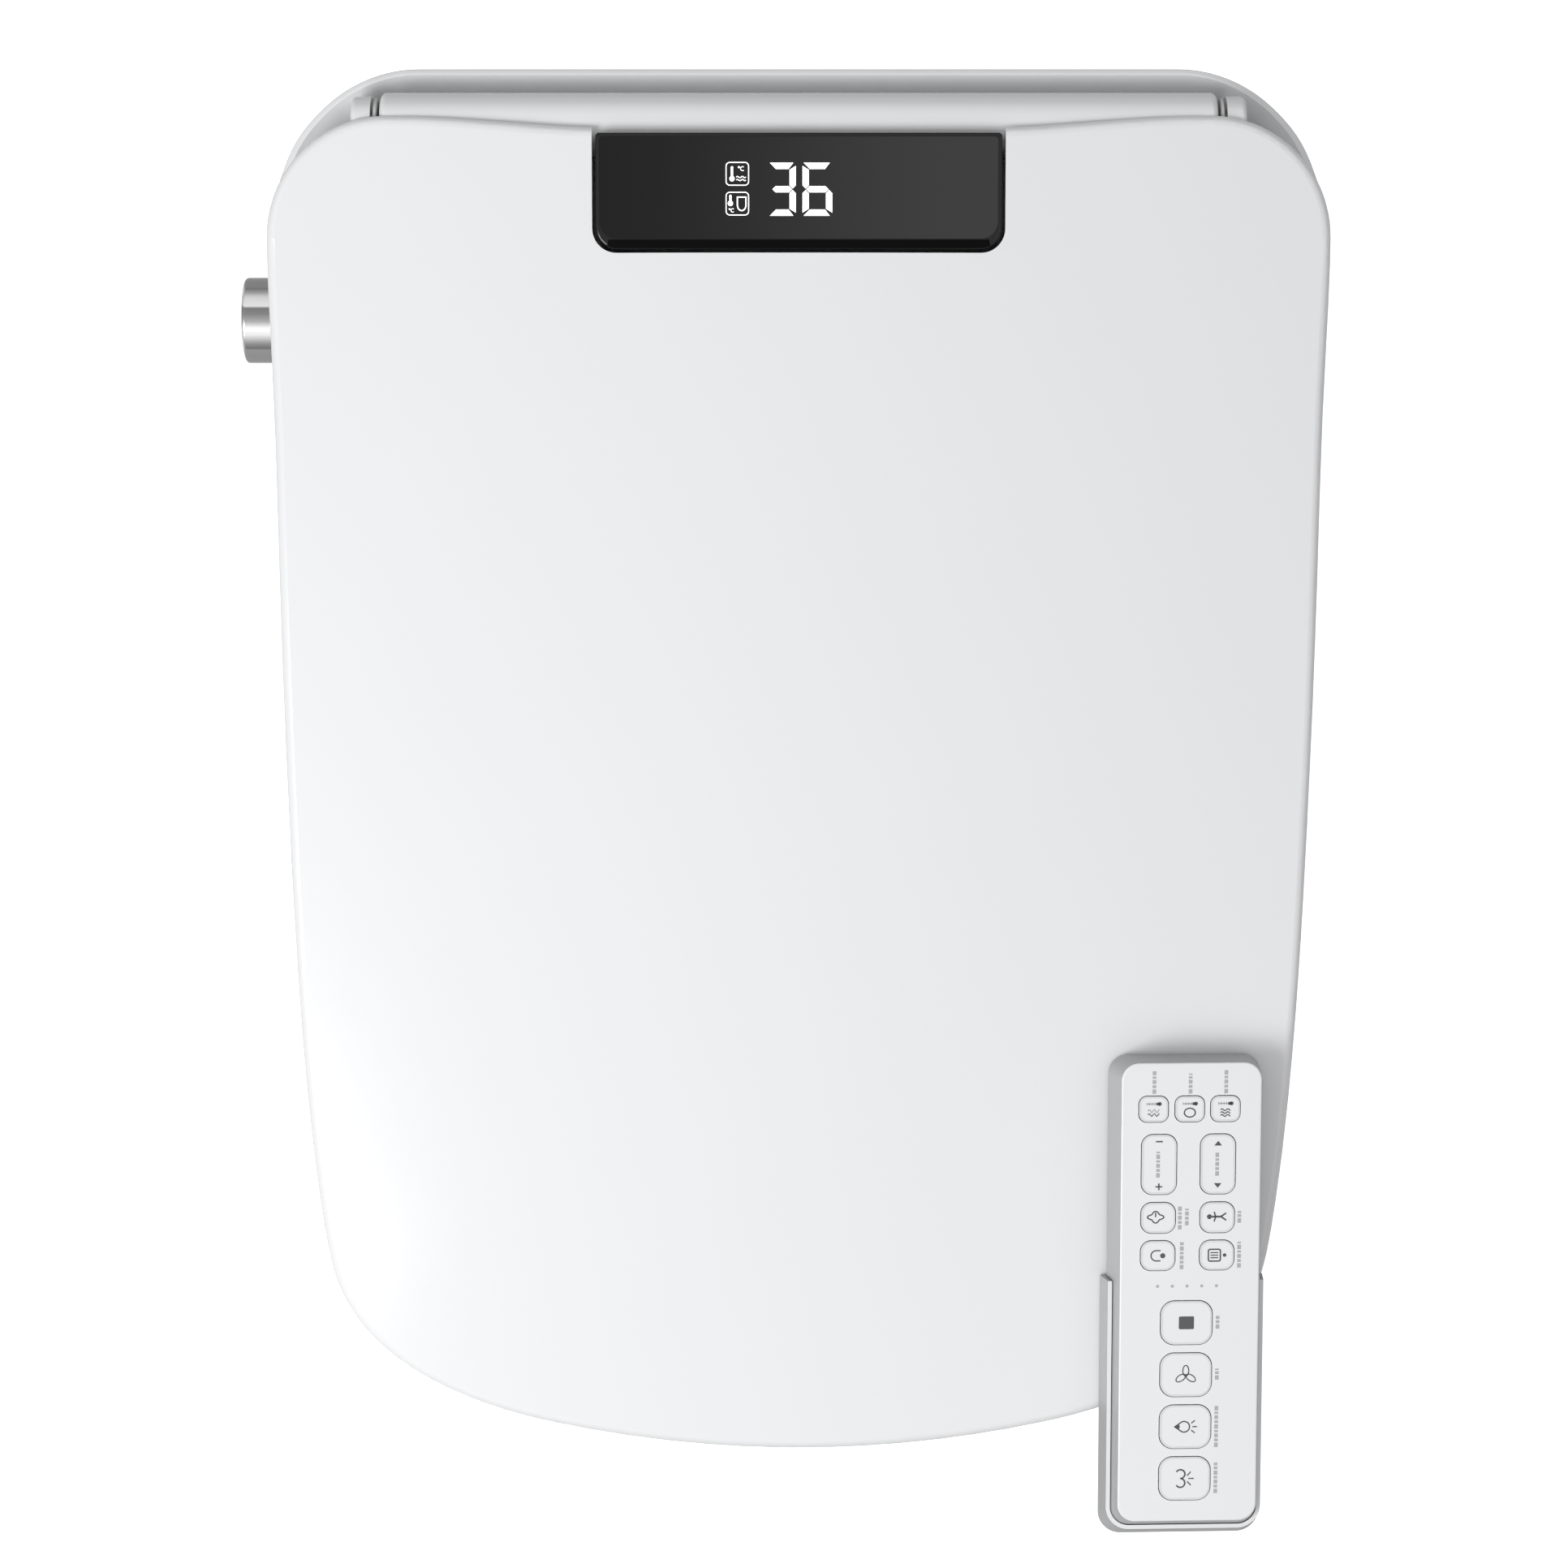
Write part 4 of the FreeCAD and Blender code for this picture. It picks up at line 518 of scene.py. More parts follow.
def lathe(name, profile, centre, axis, segments=64):
    """A closed ring or disc turned about axis; profile is a closed loop of (along, radius)."""
    bm = bmesh.new()
    axis = Vector(axis).normalized()
    side = axis.orthogonal().normalized()
    other = axis.cross(side)
    rings = []
    for step in range(segments):
        angle = 2 * math.pi * step / segments
        out = side * math.cos(angle) + other * math.sin(angle)
        rings.append([bm.verts.new(Vector(centre) + axis * a + out * r) for a, r in profile])
    count = len(profile)
    for step in range(segments):
        here, there = rings[step], rings[(step + 1) % segments]
        for i in range(count):
            k = (i + 1) % count
            bm.faces.new((here[i], there[i], there[k], here[k]))
    bmesh.ops.remove_doubles(bm, verts=bm.verts, dist=1e-7)
    return to_mesh(bm, name)


def soft_box(bm, low, high, round_by):
    """A box with bevelled edges added to bm."""
    made = bmesh.ops.create_cube(bm, size=1.0)
    centre = (Vector(low) + Vector(high)) / 2
    reach = Vector(high) - Vector(low)
    for vert in made["verts"]:
        vert.co = Vector(vert.co[i] * reach[i] + centre[i] for i in range(3))
    edges = {edge for vert in made["verts"] for edge in vert.link_edges}
    bmesh.ops.bevel(bm, geom=list(edges), offset=round_by, segments=2, profile=0.6, affect="EDGES")


def boxes(name, corners, round_by):
    """One mesh of several bevelled boxes, each given as (low, high)."""
    bm = bmesh.new()
    for low, high in corners:
        soft_box(bm, low, high, round_by)
    return to_mesh(bm, name)


def slab_of(node, name, low, high, grow):
    """The slice of a node's surface between two heights, moved outwards by grow: a seam or a gasket."""
    bm = bmesh.new()
    bm.from_mesh(NODES[node].data)
    for height, keep_up in ((low, True), (high, False)):
        geometry = bm.verts[:] + bm.edges[:] + bm.faces[:]
        bmesh.ops.bisect_plane(
            bm,
            geom=geometry,
            plane_co=(0, 0, height),
            plane_no=(0, 0, 1),
            clear_inner=keep_up,
            clear_outer=not keep_up,
        )
    bmesh.ops.remove_doubles(bm, verts=bm.verts, dist=1e-6)
    flat = [face for face in bm.faces if abs(face.normal.z) > 0.5]
    bmesh.ops.delete(bm, geom=flat, context="FACES")
    for vert in bm.verts:
        vert.co += Vector((vert.normal.x, vert.normal.y, 0)).normalized() * grow
    mesh = bpy.data.meshes.new(name)
    bm.to_mesh(mesh)
    bm.free()
    return mesh


# ---------------------------------------------------------------- flat drawings
class Plane:
    """A place to draw on: an origin in metres with directions across, along and out of it."""

    def __init__(self, origin, across, along):
        self.origin = Vector(origin)
        self.across = Vector(across).normalized()
        self.along = Vector(along).normalized()
        self.out = self.across.cross(self.along)

    def point(self, x, y, lift=0.0):
        """A point given in millimetres on the plane and metres above it."""
        return self.origin + self.across * x * MM + self.along * y * MM + self.out * lift


class Drawing:
    """Flat shapes in millimetres, raised into one thin print."""

    def __init__(self, plane):
        self.plane = plane
        self.faces = []

    def polygon(self, points):
        self.faces.append([tuple(points)])

    def disc(self, x, y, radius, steps=20):
        self.polygon(arc(x, y, radius, 0, 360, steps)[:-1])

    def block(self, x, y, width, depth):
        a, b = width / 2, depth / 2
        self.polygon([(x - a, y - b), (x + a, y - b), (x + a, y + b), (x - a, y + b)])

    def line(self, points, width, closed=False):
        """A line of even width through the points, with square joins."""
        count = len(points)
        sides = []
        for i, (x, y) in enumerate(points):
            before = points[i - 1] if closed or i else points[i]
            after = points[(i + 1) % count] if closed or i < count - 1 else points[i]
            first = Vector((x - before[0], y - before[1]))
            second = Vector((after[0] - x, after[1] - y))
            run = (first.normalized() + second.normalized()).normalized()
            stretch = 1.0
            if first.length > 0 and second.length > 0:
                stretch = 1.0 / max(0.5, run.dot(second.normalized()))
            off = Vector((-run.y, run.x)) * width / 2 * stretch
            sides.append(((x + off.x, y + off.y), (x - off.x, y - off.y)))
        quads = []
        for i in range(count if closed else count - 1):
            here, there = sides[i], sides[(i + 1) % count]
            quads.append((here[0], here[1], there[1], there[0]))
        self.faces.append(quads)

    def build(self, name, height):
        bm = bmesh.new()
        for patch in self.faces:
            corners = {}
            made = []
            for loop in patch:
                verts = []
                for x, y in loop:
                    key = (round(x, 5), round(y, 5))
                    if key not in corners:
                        corners[key] = bm.verts.new(self.plane.point(x, y))
                    verts.append(corners[key])
                if len(set(verts)) == len(verts):
                    made.append(bm.faces.new(verts))
            raised = bmesh.ops.extrude_face_region(bm, geom=made, use_keep_orig=True)
            top = [v for v in raised["geom"] if isinstance(v, bmesh.types.BMVert)]
            bmesh.ops.translate(bm, verts=top, vec=self.plane.out * height)
        return to_mesh(bm, name)


def angles(start, end, steps):
    return [math.radians(start + (end - start) * i / steps) for i in range(steps + 1)]


def arc(x, y, radius, start, end, steps=14, squash=1.0):
    return [(x + radius * math.cos(a), y + radius * squash * math.sin(a)) for a in angles(start, end, steps)]


def round_rectangle(width, depth, radius, x=0.0, y=0.0, steps=8):
    """A closed path round a rectangle with round corners."""
    a, b = width / 2 - radius, depth / 2 - radius
    path = []
    for cx, cy, start in ((a, b, 0), (-a, b, 90), (-a, -b, 180), (a, -b, 270)):
        path += arc(x + cx, y + cy, radius, start, start + 90, steps)
    return path


def moved(points, x=0.0, y=0.0, turn=0.0, scale=1.0):
    c, s = math.cos(math.radians(turn)), math.sin(math.radians(turn))
    return [(x + scale * (px * c - py * s), y + scale * (px * s + py * c)) for px, py in points]


# ---------------------------------------------------------------- where things are
def body(node):
    """The moving body that a frame node belongs to."""
    return body_of(NODES[node])[0]


def middle(node):
    low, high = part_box(node)
    return (low + high) / 2


def ride_copy(name, mesh, node, name_of_finish, smooth=True):
    """A piece that rides along with a frame node."""
    return add_piece(name, mesh, body(node), name_of_finish, smooth)


def turned(name, profile, centre, axis, node, name_of_finish, segments=64):
    """A turned piece with its profile in millimetres, riding along with a frame node."""
    in_metres = [(along * MM, radius * MM) for along, radius in profile]
    mesh = lathe(name, in_metres, centre, axis, segments)
    return ride_copy(name, mesh, node, name_of_finish)


def bevelled(name, corners, round_by, node, name_of_finish):
    """A piece made of bevelled boxes, riding along with a frame node."""
    return ride_copy(name, boxes(name, corners, round_by), node, name_of_finish)


def printed(name, drawing, height, node, name_of_finish, smooth=True):
    """A drawing raised by height, riding along with a frame node."""
    return ride_copy(name, drawing.build(name, height), node, name_of_finish, smooth)


def sloped_top(node):
    """The plane of a node's largest upward face, with its origin above X = 0, Y = 0."""
    faces = [face for face in NODES[node].data.polygons if face.normal.z > 0.9]
    face = max(faces, key=lambda one: one.area)
    normal = face.normal.copy()
    height = face.center.z + (normal.x * face.center.x + normal.y * face.center.y) / normal.z
    along = normal.cross(Vector((1, 0, 0)))
    return Plane((0, 0, height), (1, 0, 0), along)


def handset_axes():
    """Unit vectors across the handset, along it towards its top end, and out of its face."""
    out = Vector(JOINTS["handset_lift"]["axis"]).normalized()
    along = Vector(JOINTS["battery_door_slide"]["axis"]).normalized()
    along = along if along.y > 0 else -along
    return along.cross(out), along, out


def handset_plane(node):
    """A plane on the node's outer face, square to the handset, and the node's size across and along."""
    axes = handset_axes()
    spans = []
    for axis in axes:
        reach = [axis.dot(vert.co) for vert in NODES[node].data.vertices]
        spans.append((min(reach), max(reach)))
    (x0, x1), (y0, y1), (_, top) = spans
    origin = axes[0] * (x0 + x1) / 2 + axes[1] * (y0 + y1) / 2 + axes[2] * top
    return Plane(origin, axes[0], axes[1]), (x1 - x0) / MM, (y1 - y0) / MM


# ---------------------------------------------------------------- operators
class BIDET_OT_stage(bpy.types.Operator):
    """Lays the floor and sets the light and the camera"""

    bl_idname = "bidet.stage"
    bl_label = "Stage"

    def execute(self, context):
        scene = context.scene
        scene.view_settings.view_transform = "Standard"
        low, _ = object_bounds()
        if sizes().show_floor:
            self.floor(scene, low.z)
        self.sky(scene)
        centre = Vector((0, -0.19, 0.05))
        lamp_place = centre + Vector((-0.95, -0.6, 1.3))
        self.softbox(scene, "key_light", lamp_place, centre, side=0.8, power=16.5)
        camera = bpy.data.objects.new("camera", bpy.data.cameras.new("camera"))
        camera.location = (-5.5 * MM, -199.6 * MM, 1.552)
        camera.data.lens = 88.5
        camera.data.sensor_width = 36.0
        camera.data.clip_end = 20.0
        scene.collection.objects.link(camera)
        scene.camera = camera
        return {"FINISHED"}

    def floor(self, scene, height):
        mesh = bpy.data.meshes.new("floor")
        far = 4.0
        corners = [(-far, -far, 0), (far, -far, 0), (far, far, 0), (-far, far, 0)]
        mesh.from_pydata(corners, [], [(0, 1, 2, 3)])
        made = bpy.data.objects.new("floor", mesh)
        made.location.z = height - 0.5 * MM
        scene.collection.objects.link(made)
        values = {"Colour": (0.4, 0.4, 0.4), "Roughness": 0.8, "Unevenness": 0.02}
        paper = material("floor paper", "moulded", {**values, "Shading": 0.0, "Dust": 0.0})
        shader = paper.node_tree.nodes["Principled BSDF"]
        shader.inputs["Emission Color"].default_value = (1, 1, 1, 1)
        w = Wiring(paper.node_tree)
        seen = w.add("ShaderNodeLightPath").outputs["Is Camera Ray"]
        for_camera, for_seat = 0.85, 0.15
        glow = w.maths("ADD", w.maths("MULTIPLY", seen, for_camera), for_seat)
        w.join(glow, shader.inputs["Emission Strength"])
        mesh.materials.append(paper)
        made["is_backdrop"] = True

    def sky(self, scene):
        """Bright high up, a little dimmer straight overhead and towards the rear, and dark low down."""
        world = bpy.data.worlds.new("studio")
        world.use_nodes = True
        scene.world = world
        w = Wiring(world.node_tree)
        way = w.split(w.add("ShaderNodeTexCoord").outputs["Generated"])
        stops = [(0.0, 0.1), (0.3, 0.2), (0.55, 0.75), (0.87, 1.0), (0.93, 0.7), (1.0, 0.66)]
        light = w.ramp(way["Z"], stops, tint=(1.0, 1.0, 1.01))
        to_front = w.maths("MULTIPLY_ADD", way["Y"], -0.15, 1.0)
        background = world.node_tree.nodes["Background"].inputs
        w.join(w.mix(to_front, (0, 0, 0), light), background["Color"])
        background["Strength"].default_value = 0.82

    def softbox(self, scene, name, place, target, side, power):
        lamp = bpy.data.lights.new(name, "AREA")
        lamp.shape = "SQUARE"
        lamp.size = side
        lamp.energy = power
        made = bpy.data.objects.new(name, lamp)
        made.location = place
        made.rotation_euler = (target - place).to_track_quat("-Z", "Y").to_euler()
        scene.collection.objects.link(made)


class BIDET_OT_shells(bpy.types.Operator):
    """Finishes the housing, the lid and the seat ring, and draws their parting lines"""

    bl_idname = "bidet.shells"
    bl_label = "Shells"

    def execute(self, context):
        for node in ("housing_cover", "lid_shell"):
            paint(node, "shell gloss")
        paint("base_chassis", "base white")
        for node in ("seat_top", "seat_bottom"):
            paint(node, "seat satin")
        paint("seat_heater", "heater foil")
        for node in ("seat_pads", "lid_bumpers"):
            paint(node, "soft white")
        for node in ("seat_pins", "lid_rod"):
            paint(node, "bright steel")
        self.parting("case_parting", "base_chassis", "housing_cover")
        self.parting("seat_parting", "seat_bottom", "seat_top")
        self.heater_wire()
        return {"FINISHED"}

    def parting(self, name, lower, upper):
        """A fine dark line where two shells meet."""
        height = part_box(upper)[0].z
        mesh = slab_of(lower, name, height - 0.22 * MM, height - 0.02 * MM, 0.015 * MM)
        ride_copy(name, mesh, lower, "soft grey")

    def heater_wire(self):
        """A wire laid to and fro on the foil, close to both edges of the seat's opening."""
        low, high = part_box("seat_heater")
        slope = sloped_top("seat_heater")
        centre = (low.y + high.y) / 2 / MM
        drawing = Drawing(slope)
        for across, along in ((134, 150), (140, 156), (146, 162)):
            path = [(across * math.cos(a), centre + 18 + along * math.sin(a)) for a in angles(150, 390, 48)]
            drawing.line(path, 1.1)
        mesh = drawing.build("heater_wire", -0.7 * MM)
        ride_copy("heater_wire", mesh, "seat_heater", "copper wire")


SEGMENTS = {"3": "abcdg", "6": "acdefg"}


class BIDET_OT_display(bpy.types.Operator):
    """Makes the display: frame, smoked window, lit digits and two small pictograms"""

    bl_idname = "bidet.display"
    bl_label = "Display"

    def execute(self, context):
        paint("display_bezel", "display frame")
        paint("display_glass", "display window")
        plane = sloped_top("display_glass")
        base, raised = 12.6, 0.08 * MM
        figures = Drawing(plane)
        self.digit(figures, "3", -11.2, base, 10.1)
        self.digit(figures, "6", 1.4, base, 11.1)
        digits = printed("lit_digits", figures, raised, "display_glass", "lit segments")
        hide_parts("display_digits")
        signs = Drawing(plane)
        self.water_sign(signs, -22.9, base + 15.5)
        self.ring_sign(signs, -22.9, base + 4.5)
        printed("lit_signs", signs, raised, "display_glass", "lit segments")
        self.band(plane)
        return {"FINISHED"}

    def digit(self, drawing, figure, x, y, width):
        """Mitred segments of one figure, its lower left corner at (x, y)."""
        tall, bar, slit, bevel = 19.6, 2.35, 0.26, 0.9
        top, mid, right, half = y + tall, y + tall / 2, x + width, bar / 2

        def upright(x0, low, high, at_left):
            """A vertical bar with slanting ends; its outer side is the longer one."""
            inner, outer = (x0 + bar, x0) if at_left else (x0, x0 + bar)
            below, above = low + slit, high - slit
            if low < mid - 1:
                points = [(outer, below + bevel), (inner, below + bar), (inner, above - half)]
                points += [((inner + outer) / 2, above), (outer, above - half)]
            else:
                points = [(outer, above - bevel), (inner, above - bar), (inner, below + half)]
                points += [((inner + outer) / 2, below), (outer, below + half)]
            drawing.polygon(points)

        def level(outer, inner):
            """The bar along the top or the bottom, mitred at both ends."""
            mitre = bar + 0.35
            points = [(x + 0.4, outer), (right - bevel, outer)]
            points += [(right - mitre, inner), (x + mitre, inner)]
            drawing.polygon(points)

        def middle_bar():
            """The pointed bar across the middle."""
            tip, flank = half + 0.2, bar + 0.2
            points = [(x + tip, mid), (x + flank, mid + half), (right - flank, mid + half)]
            points += [(right - tip, mid), (right - flank, mid - half), (x + flank, mid - half)]
            drawing.polygon(points)

        bars = {
            "a": (level, top, top - bar),
            "b": (upright, right - bar, mid, top, False),
            "c": (upright, right - bar, y, mid, False),
            "d": (level, y, y + bar),
            "e": (upright, x, y, mid, True),
            "f": (upright, x, mid, top, True),
            "g": (middle_bar,),
        }
        for segment in SEGMENTS[figure]:
            draw, *places = bars[segment]
            draw(*places)

    def frame(self, drawing, x, y):
        drawing.line(round_rectangle(8.4, 8.4, 1.4, x, y), 0.36, closed=True)

    def degree(self, drawing, x, y, scale=1.0):
        """A small ring and an open round letter for degrees."""
        drawing.line(arc(x, y + 0.55 * scale, 0.3 * scale, 0, 360, 10)[:-1], 0.2, closed=True)
        drawing.line(arc(x + 1.35 * scale, y, 0.75 * scale, 50, 310, 10), 0.28)

    def thermometer(self, drawing, x, y, tall):
        drawing.block(x, y + tall / 2 + 0.6, 0.85, tall)
        drawing.disc(x, y, 1.0)
        drawing.disc(x, y + tall + 0.6, 0.42, 12)

    def water_sign(self, drawing, x, y):
        self.frame(drawing, x, y)
        self.thermometer(drawing, x - 2.0, y - 1.8, 3.6)
        self.degree(drawing, x + 0.6, y + 1.9)
        for low in (0.0, -1.1):
            wave = [(x - 0.4 + 0.36 * i, y - 1.2 + low + 0.25 * math.sin(i * 1.25)) for i in range(11)]
            drawing.line(wave, 0.34)

    def ring_sign(self, drawing, x, y):
        self.frame(drawing, x, y)
        self.thermometer(drawing, x - 2.6, y + 0.1, 2.2)
        self.degree(drawing, x - 2.9, y - 2.5, 0.85)
        bowl = [(x, y + 2.4)] + arc(x + 1.6, y - 0.5, 1.6, 180, 360, 14, 1.3) + [(x + 3.2, y + 2.4)]
        drawing.line(bowl, 0.45, closed=True)

    def band(self, plane):
        """The darker strip along the front of the frame."""
        low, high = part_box("display_bezel")
        glass_low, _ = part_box("display_glass")
        half = (high.x - low.x) / 2 / MM
        front, back = low.y / MM + 0.35, glass_low.y / MM - 0.15
        drawing = Drawing(plane)
        corner = 7.2
        path = arc(half - 0.7 - corner, front + corner, corner, 300, 270, 4)
        path += arc(-half + 0.7 + corner, front + corner, corner, 270, 240, 4)
        drawing.polygon(path + [(path[-1][0] + 0.5, back), (path[0][0] - 0.5, back)])
        printed("display_band", drawing, 0.3 * MM, "display_bezel", "band black")


class BIDET_OT_knob(bpy.types.Operator):
    """Plates the side knob, adds its dish, ring and beads, and seats it in a dark collar"""

    bl_idname = "bidet.knob"
    bl_label = "Side knob"

    def execute(self, context):
        # The chrome plate finish carries painted reflection bands.
        paint("knob", "chrome plate")
        paint("knob_spindle", "bright steel")
        paint("knob_encoder", "dark moulding")
        low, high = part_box("knob")
        centre = (low + high) / 2
        radius = (high.z - low.z) / 2 / MM
        face = Vector((low.x, centre.y, centre.z))
        back = Vector((high.x, centre.y, centre.z))
        out = (1, 0, 0)
        ring = [(0.35, radius * 0.55), (-0.25, radius * 0.57), (-0.25, radius * 0.6), (0.35, radius * 0.62)]
        turned("knob_ring", ring, face, out, "knob", "chrome plate")
        dish = [(0.4, 0.05), (-0.12, 0.05), (-0.02, radius * 0.3), (0.1, radius * 0.5), (0.4, radius * 0.5)]
        turned("knob_dish", dish, face, out, "knob", "chrome plate")
        collar = [(0.0, radius * 0.55), (0.9, radius * 0.55), (0.9, radius * 0.96), (0.0, radius * 0.96)]
        turned("knob_collar", collar, back, out, "housing_cover", "dark moulding")
        sunk = radius - 0.25
        for number, along in enumerate((-3.2, -2.4), start=1):
            bead = [(-0.16, sunk), (0, radius + 0.05), (0.16, sunk)]
            at = back + Vector((along * MM, 0, 0))
            turned(f"knob_bead_{number}", bead, at, out, "knob", "chrome plate")
        return {"FINISHED"}


class BIDET_OT_hinge(bpy.types.Operator):
    """Puts washers into the slits between the lid's barrel and the housing"""

    bl_idname = "bidet.hinge"
    bl_label = "Lid hinge"

    def execute(self, context):
        centre = middle("lid_rod")
        low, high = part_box("lid_rod")
        bore = (high.z - low.z) / 2 / MM + 0.1
        profile = [(0, bore), (1.3, bore), (1.3, 9.6), (1.0, 10.0), (0.3, 10.0), (0, 9.6)]
        for side, side_name in ((-1, "left"), (1, "right")):
            at = Vector((side * 158.3 * MM, centre.y, centre.z))
            name = f"hinge_washer_{side_name}"
            turned(name, profile, at, (side, 0, 0), "housing_cover", "soft white")
        return {"FINISHED"}


class BIDET_OT_wands(bpy.types.Operator):
    """Finishes the washing wands, their rollers, motors and cradle"""

    bl_idname = "bidet.wands"
    bl_label = "Washing wands"

    def execute(self, context):
        for node in ("wand_rear", "wand_front"):
            paint(node, "seat satin")
            self.rings(node)
        for node in ("roller_rear", "roller_front"):
            paint(node, "soft grey")
        paint("wand_cradle", "grey moulding")
        paint("wand_motors", "bright steel")
        return {"FINISHED"}

    def rings(self, node):
        """Two steel bands round the wand behind its tip."""
        joint = JOINTS[f"{node.removeprefix('wand_')}_wand_slide"]
        way = Vector(joint["axis"]).normalized()
        verts = [vert.co for vert in NODES[node].data.vertices]
        tip = max(way.dot(co) for co in verts)
        low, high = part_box(node)
        radius = (high.x - low.x) / 2 / MM
        middle_line = self.on_axis(verts, way)
        profile = [(0, radius - 0.1), (0.2, radius + 0.03), (0.9, radius + 0.03), (1.1, radius - 0.1)]
        for number, back in enumerate((16, 19), start=1):
            at = middle_line + way * (tip - way.dot(middle_line) - back * MM)
            turned(f"{node}_band_{number}", profile, at, -way, node, "bright steel")

    def on_axis(self, verts, way):
        """A point on the wand's own axis: the middle of its extent square to that axis."""
        side = Vector((1, 0, 0))
        up = side.cross(way)
        xs = [side.dot(co) for co in verts]
        zs = [up.dot(co) for co in verts]
        return side * (min(xs) + max(xs)) / 2 + up * (min(zs) + max(zs)) / 2 + way * way.dot(verts[0])


class BIDET_OT_dryer(bpy.types.Operator):
    """Finishes the warm-air dryer and bars its outlet"""

    bl_idname = "bidet.dryer"
    bl_label = "Warm-air dryer"

    def execute(self, context):
        paint("blower_case", "grey moulding")
        paint("dryer_duct", "grey moulding")
        paint("blower_motor", "bright steel")
        paint("blower_fan", "dark moulding")
        low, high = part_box("dryer_duct")
        bars = []
        count = 9
        for i in range(count):
            x = low.x + (high.x - low.x) * (i + 1) / (count + 1)
            near = (x - 0.4 * MM, low.y + 0.2 * MM, low.z + 1.2 * MM)
            far = (x + 0.4 * MM, low.y + 1.4 * MM, low.z + 9.6 * MM)
            bars.append((near, far))
        bevelled("outlet_bars", bars, 0.15 * MM, "dryer_duct", "grey moulding")
        low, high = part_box("blower_motor")
        centre = (low + high) / 2
        radius = (high.z - low.z) / 2 / MM
        end = Vector((high.x, centre.y, centre.z))
        boss = [(-0.4, 0.05), (1.6, 0.05), (1.6, radius * 0.3)]
        boss += [(0.5, radius * 0.36), (0.5, radius * 0.8), (-0.4, radius * 0.86)]
        turned("blower_motor_cap", boss, end, (1, 0, 0), "blower_motor", "dark moulding")
        return {"FINISHED"}


class BIDET_OT_water(bpy.types.Operator):
    """Finishes the water path, cuts the inlet's thread and winds the valve's coil"""

    bl_idname = "bidet.water"
    bl_label = "Water path"

    def execute(self, context):
        paint("water_inlet", "turned brass")
        paint("solenoid_valve", "dark moulding")
        paint("water_heater", "soft white")
        paint("flow_valve", "grey moulding")
        paint("hoses", "soft white")
        self.thread()
        self.coil()
        self.straps()
        return {"FINISHED"}

    def thread(self):
        """A helical ridge round the inlet's shank."""
        low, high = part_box("water_inlet")
        centre = (low + high) / 2
        radius = (high.x - low.x) / 2
        pitch = sizes().thread_pitch
        start, end = low.z + 1.1 * MM, low.z + 11.2 * MM
        per_turn = 40
        steps = int((end - start) / pitch * per_turn)
        bm = bmesh.new()
        rows = []
        for step in range(steps + 1):
            angle = 2 * math.pi * step / per_turn
            ease = min(1.0, step / 12, (steps - step) / 12)
            z = start + (end - start) * step / steps
            row = []
            for dz, reach in ((-0.42, -0.1), (-0.08, 0.62), (0.08, 0.62), (0.42, -0.1)):
                r = radius + (reach * ease if reach > 0 else reach) * MM
                x, y = centre.x + r * math.cos(angle), centre.y + r * math.sin(angle)
                row.append(bm.verts.new((x, y, z + dz * pitch)))
            rows.append(row)
        for here, there in zip(rows, rows[1:]):
            for i in range(4):
                k = (i + 1) % 4
                bm.faces.new((here[i], here[k], there[k], there[i]))
        bm.faces.new(rows[0])
        bm.faces.new(list(reversed(rows[-1])))
        ride_copy("inlet_thread", to_mesh(bm, "inlet_thread"), "water_inlet", "turned brass")

    def coil(self):
        """Turns of wire round the upper part of the inlet valve."""
        low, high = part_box("solenoid_valve")
        centre = (low + high) / 2
        turns = 15
        step = 1.3 * MM
        base = high.z - 22 * MM
        profile = []
        for i in range(turns):
            z = base + i * step
            profile += [(z, 10.0 * MM), (z + 0.3 * MM, 10.5 * MM), (z + 0.9 * MM, 10.5 * MM)]
        end = base + turns * step
        profile += [(end, 10.0 * MM), (end, 9.6 * MM), (base, 9.6 * MM)]
        mesh = lathe("valve_coil", profile, (centre.x, centre.y, 0), (0, 0, 1))
        ride_copy("valve_coil", mesh, "solenoid_valve", "copper wire")

    def straps(self):
        """Two straps round the water heater."""
        low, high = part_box("water_heater")
        centre = (low + high) / 2
        wide, deep = (high.x - low.x) / MM + 0.8, (high.y - low.y) / MM + 0.8
        for number, share in enumerate((0.2, 0.66), start=1):
            origin = (centre.x, centre.y, low.z + (high.z - low.z) * share)
            strap = Drawing(Plane(origin, (1, 0, 0), (0, 1, 0)))
            strap.line(round_rectangle(wide, deep, 7.4), 0.8, closed=True)
            printed(f"heater_strap_{number}", strap, 5 * MM, "water_heater", "bright steel")


